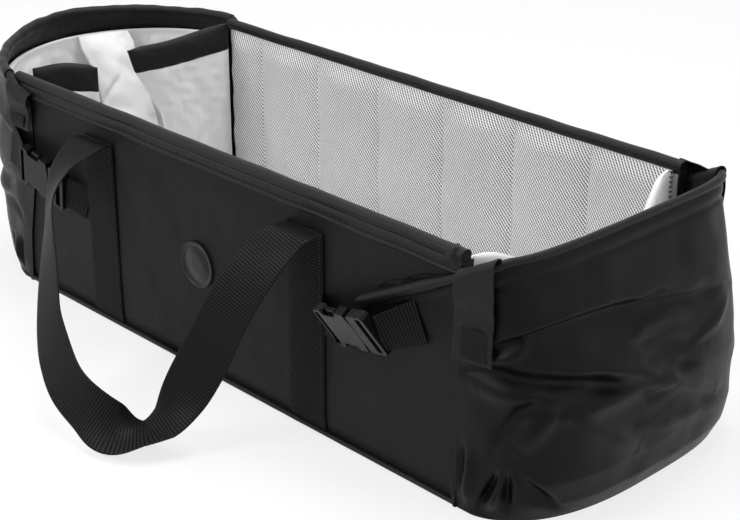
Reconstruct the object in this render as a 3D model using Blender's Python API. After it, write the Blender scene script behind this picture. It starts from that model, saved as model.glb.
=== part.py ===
"""Soft carrycot with stiff sides, rounded cloth ends that buckle on, and two webbing handles.

Frame: metres, +Z up, origin on the floor under the middle of the whole carrycot.
+X points to the foot end, +Y to the far side. The near side is the one at -Y.
"""
import math

import bmesh
import bpy
import numpy as np

# Overall sizes
SIDE_LENGTH = 0.660
BODY_WIDTH = 0.302
SIDE_RIM_HEIGHT = 0.245
HEAD_REACH = 0.140
FOOT_REACH = 0.096
CLEARANCE = 0.0003

# Base
BASE_THICKNESS = 0.008
BASE_SIDE_INSET = 0.0035
BASE_END_INSET = 0.0008
BASE_ROLL_BULGE = 0.0020
BASE_BOARD_THICKNESS = 0.003
BASE_BOARD_INSET = 0.0155

# Side walls, from the outside in
PANEL_THICKNESS = 0.003
SIDE_BOARD_THICKNESS = 0.003
LINING_SEAM_THICKNESS = 0.004
LINING_PUFF = 0.0065
BINDING_DROP = 0.0225
BINDING_INNER_DROP = 0.010
BINDING_INNER_OVERHANG = 0.0035
BINDING_COVER_SHARE = 0.62
BINDING_CORNER_SHARE = 0.3
BINDING_ROLL = 0.0045
PANEL_TUCK = 0.0015
PANEL_TUCK_HEIGHT = 0.014
SIDE_BOARD_END_INSET = 0.005
LINING_END_INSET = 0.010
CHANNEL_PITCH = 0.098
FIRST_SEAM = 0.065

# Webbing, sewn down the sides and made into the handles
WEBBING_WIDTH = 0.050
WEBBING_THICKNESS = 0.002
HEAD_WEBBING_FROM_HEAD = 0.150
FOOT_WEBBING_FROM_FOOT = 0.193
WEBBING_TOP_DROP = 0.0365
HANDLE_ROOT_DROP = 0.0015
HANDLE_REACH = 0.1625
HANDLE_ROOT_REACH = 0.0009
HANDLE_ROOT_SHARE = 0.4

# Badge on the near side
BADGE_DIAMETER = 0.048
BADGE_THICKNESS = 0.0026
BADGE_RIM_WIDTH = 0.0022
BADGE_RIM_HEIGHT = 0.0008
BADGE_FROM_HEAD = 0.307
BADGE_HEIGHT = 0.119

# Cloth ends
CLOTH_THICKNESS = 0.002
END_HEM_HEIGHT = 0.002
TUCK_RUN = 0.012
RIM_TUBE_RADIUS = 0.0035
FACING_DROP = 0.030
FACING_MIN_DROP = 0.010
FACING_THICKNESS = 0.002
FACING_GAP = 0.0009
LINING_STANDOFF = 0.0065
END_LINING_THICKNESS = 0.006
FOLD_DEPTH = 0.005
FOLD_WIDTH = 0.016
WRAP_HEEL_PAST = 0.010
END_HINGE_HEIGHT = 0.006
END_HINGE_INSET = 0.005

HEAD_RIM_ABOVE_SIDE = 0.010
HEAD_WRAP = 0.030
HEAD_WRAP_TOP_DROP = 0.0265
HEAD_WRAP_BOTTOM = 0.145
HEAD_WRAP_HEEL = 0.060
HEAD_RISE_END = 0.004
HEAD_CORNER_DROP = 0.010

FOOT_RIM_ABOVE_SIDE = 0.002
FOOT_WRAP = 0.121
FOOT_WRAP_TOP_DROP = 0.0815
FOOT_WRAP_BOTTOM = 0.147
FOOT_WRAP_HEEL = 0.075
FOOT_RISE_END = 0.040
FOOT_CORNER_DROP = 0.0

# Corner tabs over the rim tube
TAB_WIDTH = 0.038
TAB_THICKNESS = 0.0014
TAB_LENGTH_FOOT = 0.090
TAB_LENGTH_HEAD = 0.0515
TAB_PATCH_SHARE = 0.42
HEAD_TAB_PAST_WRAP_SHARE = 0.12
TAB_PATCH_THICKNESS = 0.0030
TAB_WRAP_ANGLE = math.radians(50)
FOOT_TAB_TURN = math.radians(12)

# Lining flaps that close the corners on the inside
FLAP_THICKNESS = 0.012
FLAP_EDGE_THICKNESS = 0.005
FLAP_BOTTOM = 0.050
FOOT_END_PUFF_SHARE = 0.28
HEAD_FLAP_TOP_DROP = 0.003
FOOT_FLAP_TOP_DROP = 0.023
HEAD_FAR_FLAP_LENGTH = 0.128
HEAD_NEAR_FLAP_LENGTH = 0.063
FOOT_FLAP_LENGTH = 0.085

# Pillow sewn to the head lining
PILLOW_WIDTH = 0.078
PILLOW_TOWARDS_FAR = 0.032
PILLOW_THICKNESS = 0.024
PILLOW_EDGE_THICKNESS = 0.004
PILLOW_LOW_REACH = 0.034
PILLOW_BOTTOM = 0.040
PILLOW_PINCH_SHARE = 0.20
PILLOW_LEAN_SHARE = 1.3

# Mattress
MATTRESS_THICKNESS = 0.028
MATTRESS_CROWN = 0.005
MATTRESS_SIDE_GAP = 0.004
MATTRESS_HEAD_GAP = 0.060
MATTRESS_FOOT_GAP = 0.006
MATTRESS_CORNER_SHARPNESS = 6.0

# Side-release buckles and their straps
BUCKLE_WIDTH = 0.048
BUCKLE_THICKNESS = 0.010
PLATE_THICKNESS = 0.0019
SOCKET_LENGTH = 0.046
SOCKET_WALL = 0.0035
SOCKET_BLOCK = 0.009
SOCKET_BAR = 0.0022
SOCKET_SLOT = 0.0042
MOUTH_CURVE = 0.0035
NOTCH_START = 0.0145
NOTCH_END = 0.0350
NOTCH_DEPTH = 0.0055
NOTCH_SLOPE = 0.0025
PLUG_LENGTH = 0.0234
PLUG_MOUTH_GAP = 0.0006
PLUG_BAR = 0.0120
PLUG_SLOT = 0.0062
SLOT_LENGTH = 0.0415
GUIDE_WIDTH = 0.008
GUIDE_LENGTH = 0.030
ARM_LENGTH = 0.0335
ARM_ROOT_OFFSET = 0.0160
ARM_THICKNESS = 0.0038
ARM_STEM = 0.0042
ARM_BARB = 0.0150
ARM_BARB_INSET = 0.0003
BOOLEAN_OVERRUN = 0.004
STRAP_WIDTH = 0.039
STRAP_STEPS = 7

# Where each buckle hangs at rest: its middle, its slope, the lean of its upper edge away from
# the side, and how far it swings out towards its foot end. Drops are below the side rim.
HEAD_BUCKLE_FROM_PANEL_END = 0.0643
HEAD_BUCKLE_HEIGHT_DROP = 0.0986
HEAD_BUCKLE_OUT = 0.0137
HEAD_BUCKLE_SLOPE = math.radians(-15.5)
HEAD_BUCKLE_LEAN = math.radians(7.7)
HEAD_BUCKLE_SWING = math.radians(-5.7)
HEAD_STRAP_HIGH_PAST = -0.001
HEAD_STRAP_LOW_PAST = 0.021
HEAD_STRAP_HIGH_DROP = 0.0630
HEAD_STRAP_LOW_DROP = 0.1020
FOOT_BUCKLE_FROM_PANEL_END = 0.1095
FOOT_BUCKLE_HEIGHT_DROP = 0.1025
FOOT_BUCKLE_OUT = 0.0204
FOOT_BUCKLE_SLOPE = math.radians(13)
FOOT_BUCKLE_LEAN = math.radians(29.5)
FOOT_BUCKLE_SWING = math.radians(4)
FOOT_STRAP_HIGH_PAST = -0.0555
FOOT_STRAP_LOW_PAST = -0.0305
FOOT_STRAP_HIGH_DROP = 0.0624
FOOT_STRAP_LOW_DROP = 0.0934

# Derived places
TOTAL_LENGTH = HEAD_REACH + SIDE_LENGTH + FOOT_REACH
HEAD_PANEL_X = HEAD_REACH - TOTAL_LENGTH / 2
FOOT_PANEL_X = HEAD_PANEL_X + SIDE_LENGTH
HALF_WIDTH = BODY_WIDTH / 2
FLOOR_LAYER = BASE_THICKNESS + CLEARANCE
HEAD_BUCKLE_HEIGHT = SIDE_RIM_HEIGHT - HEAD_BUCKLE_HEIGHT_DROP
HEAD_STRAP_HIGH = SIDE_RIM_HEIGHT - HEAD_STRAP_HIGH_DROP
HEAD_STRAP_LOW = SIDE_RIM_HEIGHT - HEAD_STRAP_LOW_DROP
FOOT_BUCKLE_HEIGHT = SIDE_RIM_HEIGHT - FOOT_BUCKLE_HEIGHT_DROP
FOOT_STRAP_HIGH = SIDE_RIM_HEIGHT - FOOT_STRAP_HIGH_DROP
FOOT_STRAP_LOW = SIDE_RIM_HEIGHT - FOOT_STRAP_LOW_DROP
HEAD_RIM_HEIGHT = SIDE_RIM_HEIGHT + HEAD_RIM_ABOVE_SIDE
HEAD_CORNER_HEIGHT = HEAD_RIM_HEIGHT - HEAD_CORNER_DROP
HEAD_WRAP_TOP = SIDE_RIM_HEIGHT - HEAD_WRAP_TOP_DROP
HEAD_FLAP_TOP = SIDE_RIM_HEIGHT - HEAD_FLAP_TOP_DROP
FOOT_RIM_HEIGHT = SIDE_RIM_HEIGHT + FOOT_RIM_ABOVE_SIDE
FOOT_CORNER_HEIGHT = FOOT_RIM_HEIGHT - FOOT_CORNER_DROP
FOOT_WRAP_TOP = SIDE_RIM_HEIGHT - FOOT_WRAP_TOP_DROP
FOOT_FLAP_TOP = SIDE_RIM_HEIGHT - FOOT_FLAP_TOP_DROP
WEBBING_TOP = SIDE_RIM_HEIGHT - WEBBING_TOP_DROP
BINDING_BOTTOM = SIDE_RIM_HEIGHT - BINDING_DROP
BOARD_TOP = SIDE_RIM_HEIGHT - BINDING_DROP * BINDING_COVER_SHARE
LINING_TOP = SIDE_RIM_HEIGHT - BINDING_INNER_DROP - CLEARANCE
BOARD_OUTER = HALF_WIDTH - PANEL_THICKNESS - CLEARANCE
BOARD_INNER = BOARD_OUTER - SIDE_BOARD_THICKNESS
LINING_OUTER = BOARD_INNER - CLEARANCE
LINING_INNER = LINING_OUTER - LINING_SEAM_THICKNESS - LINING_PUFF
WEBBING_FACE = HALF_WIDTH + CLEARANCE + WEBBING_THICKNESS
WRAP_FACE = HALF_WIDTH + CLEARANCE
HEAD_WEBBING_X = HEAD_PANEL_X + HEAD_WEBBING_FROM_HEAD
FOOT_WEBBING_X = FOOT_PANEL_X - FOOT_WEBBING_FROM_FOOT
HANDLE_HINGE_OUT = WEBBING_FACE + CLEARANCE + WEBBING_THICKNESS / 2
HANDLE_HINGE_HEIGHT = WEBBING_TOP - HANDLE_ROOT_DROP


class End:
    """One cloth end: its place, its outline at each height, its wrap over the side panels."""

    def __init__(self, name, sign, panel_x, reach, rim_height, corner_height, wrap, wrap_top,
                 wrap_bottom, wrap_heel, rise_end, level_shares, reach_shares, tuck_shares,
                 roundness_shares, far_fullness_share):
        self.name = name
        self.sign = sign
        self.panel_x = panel_x
        self.reach = reach
        self.rim_height = rim_height
        self.corner_height = corner_height
        self.wrap = wrap
        self.wrap_top = wrap_top
        self.wrap_bottom = wrap_bottom
        self.wrap_heel = wrap_heel
        self.rise_end = rise_end
        self.level_shares = level_shares
        self.reach_shares = reach_shares
        self.tuck_shares = tuck_shares
        self.roundness_shares = roundness_shares
        self.far_fullness_share = far_fullness_share

    def outline(self, angle, height, out):
        """Plan points past the panel end: a rounded oblong that changes shape with height."""
        level = height / self.rim_height
        outer_reach = self.reach * np.interp(level, self.level_shares, self.reach_shares)
        reach = outer_reach - CLOTH_THICKNESS + out
        tuck_ramp = np.minimum(1.0, np.abs(np.cos(angle)) * self.reach / TUCK_RUN)
        inset = CLOTH_THICKNESS * np.interp(level, self.level_shares, self.tuck_shares) * tuck_ramp
        width = WRAP_FACE - inset + out
        fullness = np.where(angle > 0.0, self.far_fullness_share, 1.0)
        power = 2.0 / (np.interp(level, self.level_shares, self.roundness_shares) * fullness)
        past = reach * np.abs(np.cos(angle)) ** power
        across = width * np.sign(np.sin(angle)) * np.abs(np.sin(angle)) ** power
        return past, across

    def top(self, past):
        """Height of the rim tube's middle: it climbs from the wrap's tip to the rim."""
        stations = [-self.wrap, self.rise_end, self.reach]
        levels = [self.wrap_top, self.corner_height, self.rim_height]
        return np.interp(past, stations, levels) - RIM_TUBE_RADIUS

    def bottom(self, past):
        """Height of the lower edge: it falls from the tip to the heel, then to the floor."""
        stations = [-self.wrap, -WRAP_HEEL_PAST, -WRAP_HEEL_PAST / 2]
        return np.interp(past, stations, [self.wrap_bottom, self.wrap_heel, END_HEM_HEIGHT])

    def world(self, past, across, height):
        return np.stack([self.panel_x + self.sign * past, across, height], axis=-1)


HEAD_END = End("head", -1, HEAD_PANEL_X, HEAD_REACH, HEAD_RIM_HEIGHT, HEAD_CORNER_HEIGHT, HEAD_WRAP,
               HEAD_WRAP_TOP, HEAD_WRAP_BOTTOM, HEAD_WRAP_HEEL, HEAD_RISE_END,
               [0.0, 0.08, 0.22, 0.60, 0.85, 1.0], [0.82, 0.93, 0.985, 1.0, 0.975, 0.93],
               [1.0, 0.0, 0.0, 0.0, 0.0, 0.0], [1.9, 2.0, 2.1, 2.1, 1.95, 1.6], 1.0)
FOOT_END = End("foot", 1, FOOT_PANEL_X, FOOT_REACH, FOOT_RIM_HEIGHT, FOOT_CORNER_HEIGHT, FOOT_WRAP,
               FOOT_WRAP_TOP, FOOT_WRAP_BOTTOM, FOOT_WRAP_HEEL, FOOT_RISE_END,
               [0.0, 0.08, 0.18, 0.40, 0.57, 0.77, 1.0], [0.88, 0.97, 1.0, 0.96, 0.88, 0.73, 0.53],
               [1.0, 0.0, 0.0, 0.0, 0.0, 0.0, 0.0], [2.4, 2.6, 3.0, 3.2, 3.4, 3.6, 3.8], 1.5)
ENDS = [HEAD_END, FOOT_END]
SIDES = [("near", -1), ("far", 1)]

# Colours: red, green, blue, roughness, metallic
NYLON = (0.020, 0.020, 0.022, 0.62, 0.0)
NYLON_END = (0.015, 0.015, 0.016, 0.50, 0.0)
BINDING = (0.016, 0.016, 0.017, 0.66, 0.0)
WEBBING = (0.012, 0.012, 0.013, 0.72, 0.0)
PLASTIC = (0.010, 0.010, 0.011, 0.30, 0.0)
RUBBER = (0.014, 0.014, 0.015, 0.45, 0.0)
COTTON = (0.80, 0.80, 0.79, 0.85, 0.0)
SPACER_MESH = (0.72, 0.71, 0.70, 0.80, 0.0)
BOARD = (0.30, 0.29, 0.27, 0.70, 0.0)


def clear_scene():
    for item in list(bpy.data.objects):
        bpy.data.objects.remove(item, do_unlink=True)


def finish(name, mesh, look):
    """Give a mesh its object and its own plain material."""
    mesh.name = name
    item = bpy.data.objects.new(name, mesh)
    bpy.context.collection.objects.link(item)
    material = bpy.data.materials.new(name)
    material.use_nodes = True
    shader = material.node_tree.nodes["Principled BSDF"]
    shader.inputs["Base Color"].default_value = (look[0], look[1], look[2], 1.0)
    shader.inputs["Roughness"].default_value = look[3]
    shader.inputs["Metallic"].default_value = look[4]
    material.diffuse_color = (look[0], look[1], look[2], 1.0)
    item.data.materials.append(material)
    return item


def mesh_from(points, faces, smooth):
    mesh = bpy.data.meshes.new("piece")
    mesh.from_pydata([tuple(p) for p in points], [], faces)
    work = bmesh.new()
    work.from_mesh(mesh)
    bmesh.ops.recalc_face_normals(work, faces=work.faces)
    work.to_mesh(mesh)
    work.free()
    if smooth:
        mesh.shade_smooth()
        mesh.set_sharp_from_angle(angle=math.radians(40))
    return mesh


def sheet_solid(name, front, back, look, smooth=True):
    """A closed piece between two grids of points that have the same rows and columns."""
    rows, columns = front.shape[:2]
    points = np.concatenate([front.reshape(-1, 3), back.reshape(-1, 3)])
    offset = rows * columns
    index = np.arange(offset).reshape(rows, columns)
    faces = []
    for r in range(rows - 1):
        for c in range(columns - 1):
            quad = [index[r, c], index[r, c + 1], index[r + 1, c + 1], index[r + 1, c]]
            faces.append([int(i) for i in quad])
            faces.append([int(i) + offset for i in reversed(quad)])
    border = list(index[0, :]) + list(index[1:, -1]) + list(index[-1, -2::-1]) + list(index[-2:0:-1, 0])
    for i, start in enumerate(border):
        end = border[(i + 1) % len(border)]
        faces.append([int(end), int(start), int(start) + offset, int(end) + offset])
    return finish(name, mesh_from(points, faces, smooth), look)


def swept_solid(name, rings, look, smooth=True):
    """A closed piece through rings of points, with a flat cap on each end."""
    count, sides = rings.shape[:2]
    faces = []
    for r in range(count - 1):
        for s in range(sides):
            a = r * sides + s
            b = r * sides + (s + 1) % sides
            faces.append([a, b, b + sides, a + sides])
    faces.append(list(range(sides)))
    faces.append([(count - 1) * sides + s for s in range(sides)])
    return finish(name, mesh_from(rings.reshape(-1, 3), faces, smooth), look)


def long_piece(name, profile, start_x, end_x, look):
    """A profile of (across, height) points carried along X."""
    profile = np.array(profile)
    rings = [np.column_stack([np.full(len(profile), x), profile]) for x in (start_x, end_x)]
    return swept_solid(name, np.array(rings), look, smooth=False)


def smooth_route(points, steps):
    """A smooth curve through every row of points, with even steps between them."""
    points = np.array(points, dtype=float)
    padded = np.vstack([2 * points[0] - points[1], points, 2 * points[-1] - points[-2]])
    route = []
    for i in range(1, len(padded) - 2):
        p0, p1, p2, p3 = padded[i - 1:i + 3]
        for t in np.linspace(0.0, 1.0, steps, endpoint=False):
            route.append(0.5 * (2 * p1 + (p2 - p0) * t + (2 * p0 - 5 * p1 + 4 * p2 - p3) * t ** 2
                                + (3 * p1 - p0 - 3 * p2 + p3) * t ** 3))
    route.append(points[-1])
    return np.array(route)


def unit(vectors):
    return vectors / np.linalg.norm(vectors, axis=-1, keepdims=True)


def ribbon(name, middle, across, width, thickness, look):
    """A flat strap: middle points, and the direction of its width at each of them."""
    run = unit(np.gradient(middle, axis=0))
    normal = unit(np.cross(run, across))
    half_width = across * width / 2
    half_thickness = normal * thickness / 2
    rings = np.stack([middle - half_width - half_thickness, middle + half_width - half_thickness,
                      middle + half_width + half_thickness, middle - half_width + half_thickness], axis=1)
    return swept_solid(name, rings, look)


def tube(name, path, radius, sides, look):
    """A round tube whose rings keep upright along the path."""
    run = unit(np.gradient(path, axis=0))
    side = unit(np.cross(run, np.array([0.0, 0.0, 1.0])))
    lift = np.cross(side, run)
    turn = np.linspace(0.0, 2 * math.pi, sides, endpoint=False)
    rings = (path[:, None, :] + radius * np.cos(turn)[None, :, None] * side[:, None, :]
             + radius * np.sin(turn)[None, :, None] * lift[:, None, :])
    return swept_solid(name, rings, look)


# Base

def base_ring(inset_side, inset_end, height, arc_steps=22):
    """The base's outline: straight sides and the two rounded ends."""
    angles = np.linspace(-math.pi / 2, math.pi / 2, arc_steps)
    loops = []
    for end in (FOOT_END, HEAD_END):
        past, across = end.outline(angles, np.zeros_like(angles), -inset_end)
        across = np.clip(across, inset_side - HALF_WIDTH, HALF_WIDTH - inset_side)
        loop = end.world(past, across, np.full_like(angles, height))
        loops.append(loop if end.sign > 0 else loop[::-1])
    return np.concatenate(loops)


def make_base():
    bulge_shares = [1.0, 0.3, 0.0, 0.3, 1.0]
    level_shares = [0.0, 0.2, 0.5, 0.8, 1.0]
    rings = []
    for bulge, level in zip(bulge_shares, level_shares):
        inset = BASE_ROLL_BULGE * bulge
        rings.append(base_ring(BASE_SIDE_INSET + inset, BASE_END_INSET + inset, BASE_THICKNESS * level))
    swept_solid("base_cover", np.array(rings), NYLON)
    low = FLOOR_LAYER
    side_inset = HALF_WIDTH - BOARD_INNER + CLEARANCE
    rings = [base_ring(side_inset, BASE_BOARD_INSET, z) for z in (low, low + BASE_BOARD_THICKNESS)]
    swept_solid("base_board", np.array(rings), BOARD, smooth=False)


# Side walls

def make_side(side, sign):
    outer = HALF_WIDTH
    tucked = outer - PANEL_TUCK
    inner = outer - PANEL_THICKNESS
    panel_top = BINDING_BOTTOM - CLEARANCE
    panel = [(outer, panel_top), (outer, FLOOR_LAYER + PANEL_TUCK_HEIGHT), (tucked, FLOOR_LAYER),
             (inner, FLOOR_LAYER), (inner, panel_top)]
    long_piece(side + "_outer_panel", [(sign * y, z) for y, z in panel], HEAD_PANEL_X, FOOT_PANEL_X, NYLON)
    board = [(BOARD_OUTER, BOARD_TOP), (BOARD_OUTER, FLOOR_LAYER), (BOARD_INNER, FLOOR_LAYER), (BOARD_INNER, BOARD_TOP)]
    long_piece(side + "_side_board", [(sign * y, z) for y, z in board],
               HEAD_PANEL_X + SIDE_BOARD_END_INSET, FOOT_PANEL_X - SIDE_BOARD_END_INSET, BOARD)
    make_binding(side, sign)
    make_side_lining(side, sign)


def make_binding(side, sign):
    """The bound rim: a cap over the panel, the board and the lining, with a roll on top."""
    inner = LINING_OUTER - BINDING_INNER_OVERHANG
    top = SIDE_RIM_HEIGHT
    roll = BINDING_ROLL
    corner = roll * BINDING_CORNER_SHARE
    under_board = BOARD_TOP + CLEARANCE
    under_lining = LINING_TOP + CLEARANCE
    profile = [(HALF_WIDTH, BINDING_BOTTOM), (HALF_WIDTH, top - roll), (HALF_WIDTH - corner, top - corner),
               (HALF_WIDTH - roll, top), (inner + roll, top), (inner + corner, top - corner),
               (inner, top - roll), (inner, under_lining), (BOARD_INNER, under_lining),
               (BOARD_INNER, under_board), (HALF_WIDTH - PANEL_THICKNESS, under_board),
               (HALF_WIDTH - PANEL_THICKNESS, BINDING_BOTTOM)]
    long_piece(side + "_rim_binding", [(sign * y, z) for y, z in profile], HEAD_PANEL_X, FOOT_PANEL_X, BINDING)


def make_side_lining(side, sign):
    """Quilted lining: upright sewn channels that puff out and close at the top."""
    start = HEAD_PANEL_X + LINING_END_INSET
    stop = FOOT_PANEL_X - LINING_END_INSET
    first = HEAD_PANEL_X + FIRST_SEAM
    seams = [first + i * CHANNEL_PITCH for i in range(-1, int((stop - first) / CHANNEL_PITCH) + 2)]
    steps_share = np.array([0.0, 0.08, 0.25, 0.5, 0.75, 0.92])
    columns = np.concatenate([low + CHANNEL_PITCH * steps_share for low in seams])
    columns = np.concatenate([[start], columns[(columns > start) & (columns < stop)], [stop]])
    low = FLOOR_LAYER + BASE_BOARD_THICKNESS + CLEARANCE
    row_shares = np.array([0.0, 0.25, 0.55, 0.82, 0.94, 1.0])
    height = low + (LINING_TOP - low) * row_shares
    phase = (columns - first) / CHANNEL_PITCH
    puff_along = np.abs(np.sin(math.pi * phase)) ** 0.6
    puff_up = np.array([0.75, 1.0, 1.0, 0.95, 0.7, 0.0])
    puff = LINING_PUFF * puff_up[:, None] * puff_along[None, :]
    x, z = np.meshgrid(columns, height)
    back = np.stack([x, np.full_like(x, sign * LINING_OUTER), z], axis=-1)
    front = back.copy()
    front[..., 1] -= sign * (LINING_SEAM_THICKNESS + puff)
    sheet_solid(side + "_mesh_lining", front, back, SPACER_MESH)


# Webbing and handles

def make_sewn_webbing(name, sign, centre_x):
    inner = HALF_WIDTH + CLEARANCE
    foot_height = FLOOR_LAYER + PANEL_TUCK_HEIGHT
    profile = [(inner, WEBBING_TOP), (WEBBING_FACE, WEBBING_TOP), (WEBBING_FACE, foot_height),
               (WEBBING_FACE - PANEL_TUCK, FLOOR_LAYER), (inner - PANEL_TUCK, FLOOR_LAYER), (inner, foot_height)]
    long_piece(name, [(sign * y, z) for y, z in profile],
               centre_x - WEBBING_WIDTH / 2, centre_x + WEBBING_WIDTH / 2, WEBBING)


# The handle's route, as shares: along from the head root to the foot root, out from the side,
# and height from the floor to the roots. The last three give the direction of the strap's width.
HANDLE_ROUTE_SHARES = [
    (0.000, 0.000, 1.000, 1.00, 0.00, 0.00),
    (0.005, 0.090, 0.985, 1.00, 0.02, 0.02),
    (0.020, 0.205, 0.950, 0.98, 0.07, 0.14),
    (0.035, 0.320, 0.900, 0.93, 0.21, 0.30),
    (0.070, 0.445, 0.803, 0.84, 0.38, 0.37),
    (0.130, 0.555, 0.680, 0.87, 0.30, 0.39),
    (0.211, 0.680, 0.540, 0.89, 0.12, 0.44),
    (0.309, 0.825, 0.385, 0.77, -0.07, 0.64),
    (0.410, 0.925, 0.295, 0.66, -0.26, 0.70),
    (0.514, 0.990, 0.215, 0.61, -0.30, 0.73),
    (0.618, 0.985, 0.160, 0.58, -0.30, 0.75),
    (0.700, 0.930, 0.125, 0.30, -0.60, 0.74),
    (0.745, 0.840, 0.105, -0.40, -0.72, 0.55),
    (0.780, 0.720, 0.130, -0.92, -0.25, 0.30),
    (0.811, 0.605, 0.235, -0.95, 0.18, 0.25),
    (0.845, 0.525, 0.370, -0.91, 0.34, 0.23),
    (0.886, 0.472, 0.518, -0.94, 0.28, 0.19),
    (0.921, 0.405, 0.670, -0.96, 0.25, 0.10),
    (0.953, 0.325, 0.808, -0.96, 0.26, 0.03),
    (0.975, 0.220, 0.900, -0.97, 0.20, 0.02),
    (0.992, 0.100, 0.975, -0.99, 0.08, 0.00),
    (1.000, 0.000, 1.000, -1.00, 0.00, 0.00),
]


def make_handle(side, sign):
    route = smooth_route(HANDLE_ROUTE_SHARES, 3)
    along = HEAD_WEBBING_X + (FOOT_WEBBING_X - HEAD_WEBBING_X) * route[:, 0]
    out = HANDLE_HINGE_OUT + HANDLE_REACH * route[:, 1]
    height = HANDLE_HINGE_HEIGHT * route[:, 2]
    middle = np.column_stack([along, sign * out, height])
    across = unit(route[:, 3:6] * np.array([1.0, sign, 1.0]))
    root = np.array([0.0, -sign * HANDLE_ROOT_REACH, 0.0])
    middle = np.vstack([middle[0] + root, middle, middle[-1] + root])
    across = np.vstack([across[0], across, across[-1]])
    thickness = np.full((len(middle), 1), WEBBING_THICKNESS)
    thickness[[0, -1]] *= HANDLE_ROOT_SHARE
    handle = ribbon(side + "_handle", middle, across, WEBBING_WIDTH, thickness, WEBBING)
    place_on_hinge(handle, (0.0, sign * HANDLE_HINGE_OUT, HANDLE_HINGE_HEIGHT))


def place_on_hinge(item, pivot):
    """Move an object's origin onto its joint's axis without moving its surface."""
    shift = np.array(pivot)
    for vertex in item.data.vertices:
        vertex.co = np.array(vertex.co) - shift
    item.location = pivot


# Badge

def make_badge():
    """A plain turned disc with a raised rim."""
    radius = BADGE_DIAMETER / 2
    field = BADGE_THICKNESS - BADGE_RIM_HEIGHT
    slope = BADGE_RIM_HEIGHT / 2
    profile = [(radius - slope, 0.0), (radius, slope), (radius, BADGE_THICKNESS - slope),
               (radius - slope, BADGE_THICKNESS), (radius - BADGE_RIM_WIDTH, BADGE_THICKNESS),
               (radius - BADGE_RIM_WIDTH - slope, field)]
    turn = np.linspace(0.0, 2 * math.pi, 36, endpoint=False)
    centre_x = HEAD_PANEL_X + BADGE_FROM_HEAD
    rings = []
    for r, depth in profile:
        ring = [(centre_x + r * math.cos(a), -HALF_WIDTH - CLEARANCE - depth, BADGE_HEIGHT + r * math.sin(a)) for a in turn]
        rings.append(ring)
    swept_solid("round_badge", np.array(rings), RUBBER)


# Cloth ends

def end_columns(end, wrap_steps=5, arc_steps=27):
    """Columns along the end, from the near wrap's tip to the far one: angle and distance past."""
    wrap = np.linspace(-end.wrap, -WRAP_HEEL_PAST, wrap_steps)
    wrap = np.append(wrap, -WRAP_HEEL_PAST / 2)
    wrap_steps = len(wrap)
    angles = np.linspace(-math.pi / 2, math.pi / 2, arc_steps)
    angle = np.concatenate([np.full(wrap_steps, angles[0]), angles, np.full(wrap_steps, angles[-1])])
    past = np.concatenate([wrap, np.zeros(arc_steps), wrap[::-1]])
    return angle, past


# Main folds of each end: where each starts and stops, as shares of the half turn from the near
# corner to the far one and of the rim's height, and its depth as a share of the full fold.
FOOT_FOLD_SHARES = [
    (0.10, 0.60, 0.46, 0.66, 1.0),
    (0.06, 0.44, 0.34, 0.46, 0.9),
    (0.30, 0.30, 0.60, 0.44, 0.8),
    (0.55, 0.55, 0.80, 0.42, 0.7),
    (0.70, 0.30, 0.92, 0.52, 0.7),
    (0.08, 0.16, 0.16, 0.30, 0.8),
]
HEAD_FOLD_SHARES = [
    (0.10, 0.48, 0.40, 0.56, 0.8),
    (0.16, 0.20, 0.44, 0.30, 0.7),
    (0.56, 0.30, 0.86, 0.20, 0.7),
    (0.60, 0.56, 0.90, 0.46, 0.8),
]


def fold_depth(end, angle, height):
    """How far the cloth dips: a soft valley along each fold's line."""
    folds = FOOT_FOLD_SHARES if end is FOOT_END else HEAD_FOLD_SHARES
    girth = math.pi * (end.reach + HALF_WIDTH) / 2
    along = (angle / math.pi + 0.5) * girth
    depth = np.zeros_like(along)
    for start_along, start_up, stop_along, stop_up, share in folds:
        ax, az = start_along * girth, start_up * end.rim_height
        bx, bz = stop_along * girth, stop_up * end.rim_height
        dx, dz = bx - ax, bz - az
        t = np.clip(((along - ax) * dx + (height - az) * dz) / (dx * dx + dz * dz), 0.0, 1.0)
        gap = np.hypot(along - ax - t * dx, height - az - t * dz)
        depth = np.maximum(depth, share * np.exp(-(gap / FOLD_WIDTH) ** 2))
    return depth * FOLD_DEPTH


def end_grid(end, angle, past, low, high, rows, out, folded):
    """A grid of points on the end's surface between two heights."""
    share = np.linspace(0.0, 1.0, rows)[:, None]
    height = low[None, :] + (high - low)[None, :] * share
    angle = np.broadcast_to(angle[None, :], height.shape)
    dip = fold_depth(end, angle, height) if folded else 0.0
    curve_past, across = end.outline(angle, height, out)
    squeeze = 1.0 - dip * np.clip(curve_past / FOLD_WIDTH - 0.5, 0.0, 1.0) / HALF_WIDTH
    full_past = np.where(past[None, :] < 0.0, past[None, :], curve_past * squeeze)
    full_across = np.where(past[None, :] < 0.0, np.sign(across) * (WRAP_FACE + out), across * squeeze)
    return end.world(full_past, full_across, height)


def make_end_wall(end):
    angle, past = end_columns(end)
    nominal = np.where(past < 0.0, past, end.outline(angle, np.full_like(angle, end.rim_height), CLOTH_THICKNESS)[0])
    low = end.bottom(nominal)
    high = end.top(nominal) - RIM_TUBE_RADIUS - 2 * CLEARANCE
    inner = end_grid(end, angle, past, low, high, 11, 0.0, True)
    outer = end_grid(end, angle, past, low, high, 11, CLOTH_THICKNESS, True)
    wall = sheet_solid(end.name + "_end_wall", outer, inner, NYLON_END)
    path = rim_path(end)
    rim = tube(end.name + "_rim_tube", path, RIM_TUBE_RADIUS, 8, BINDING)
    return [wall, rim]


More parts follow.
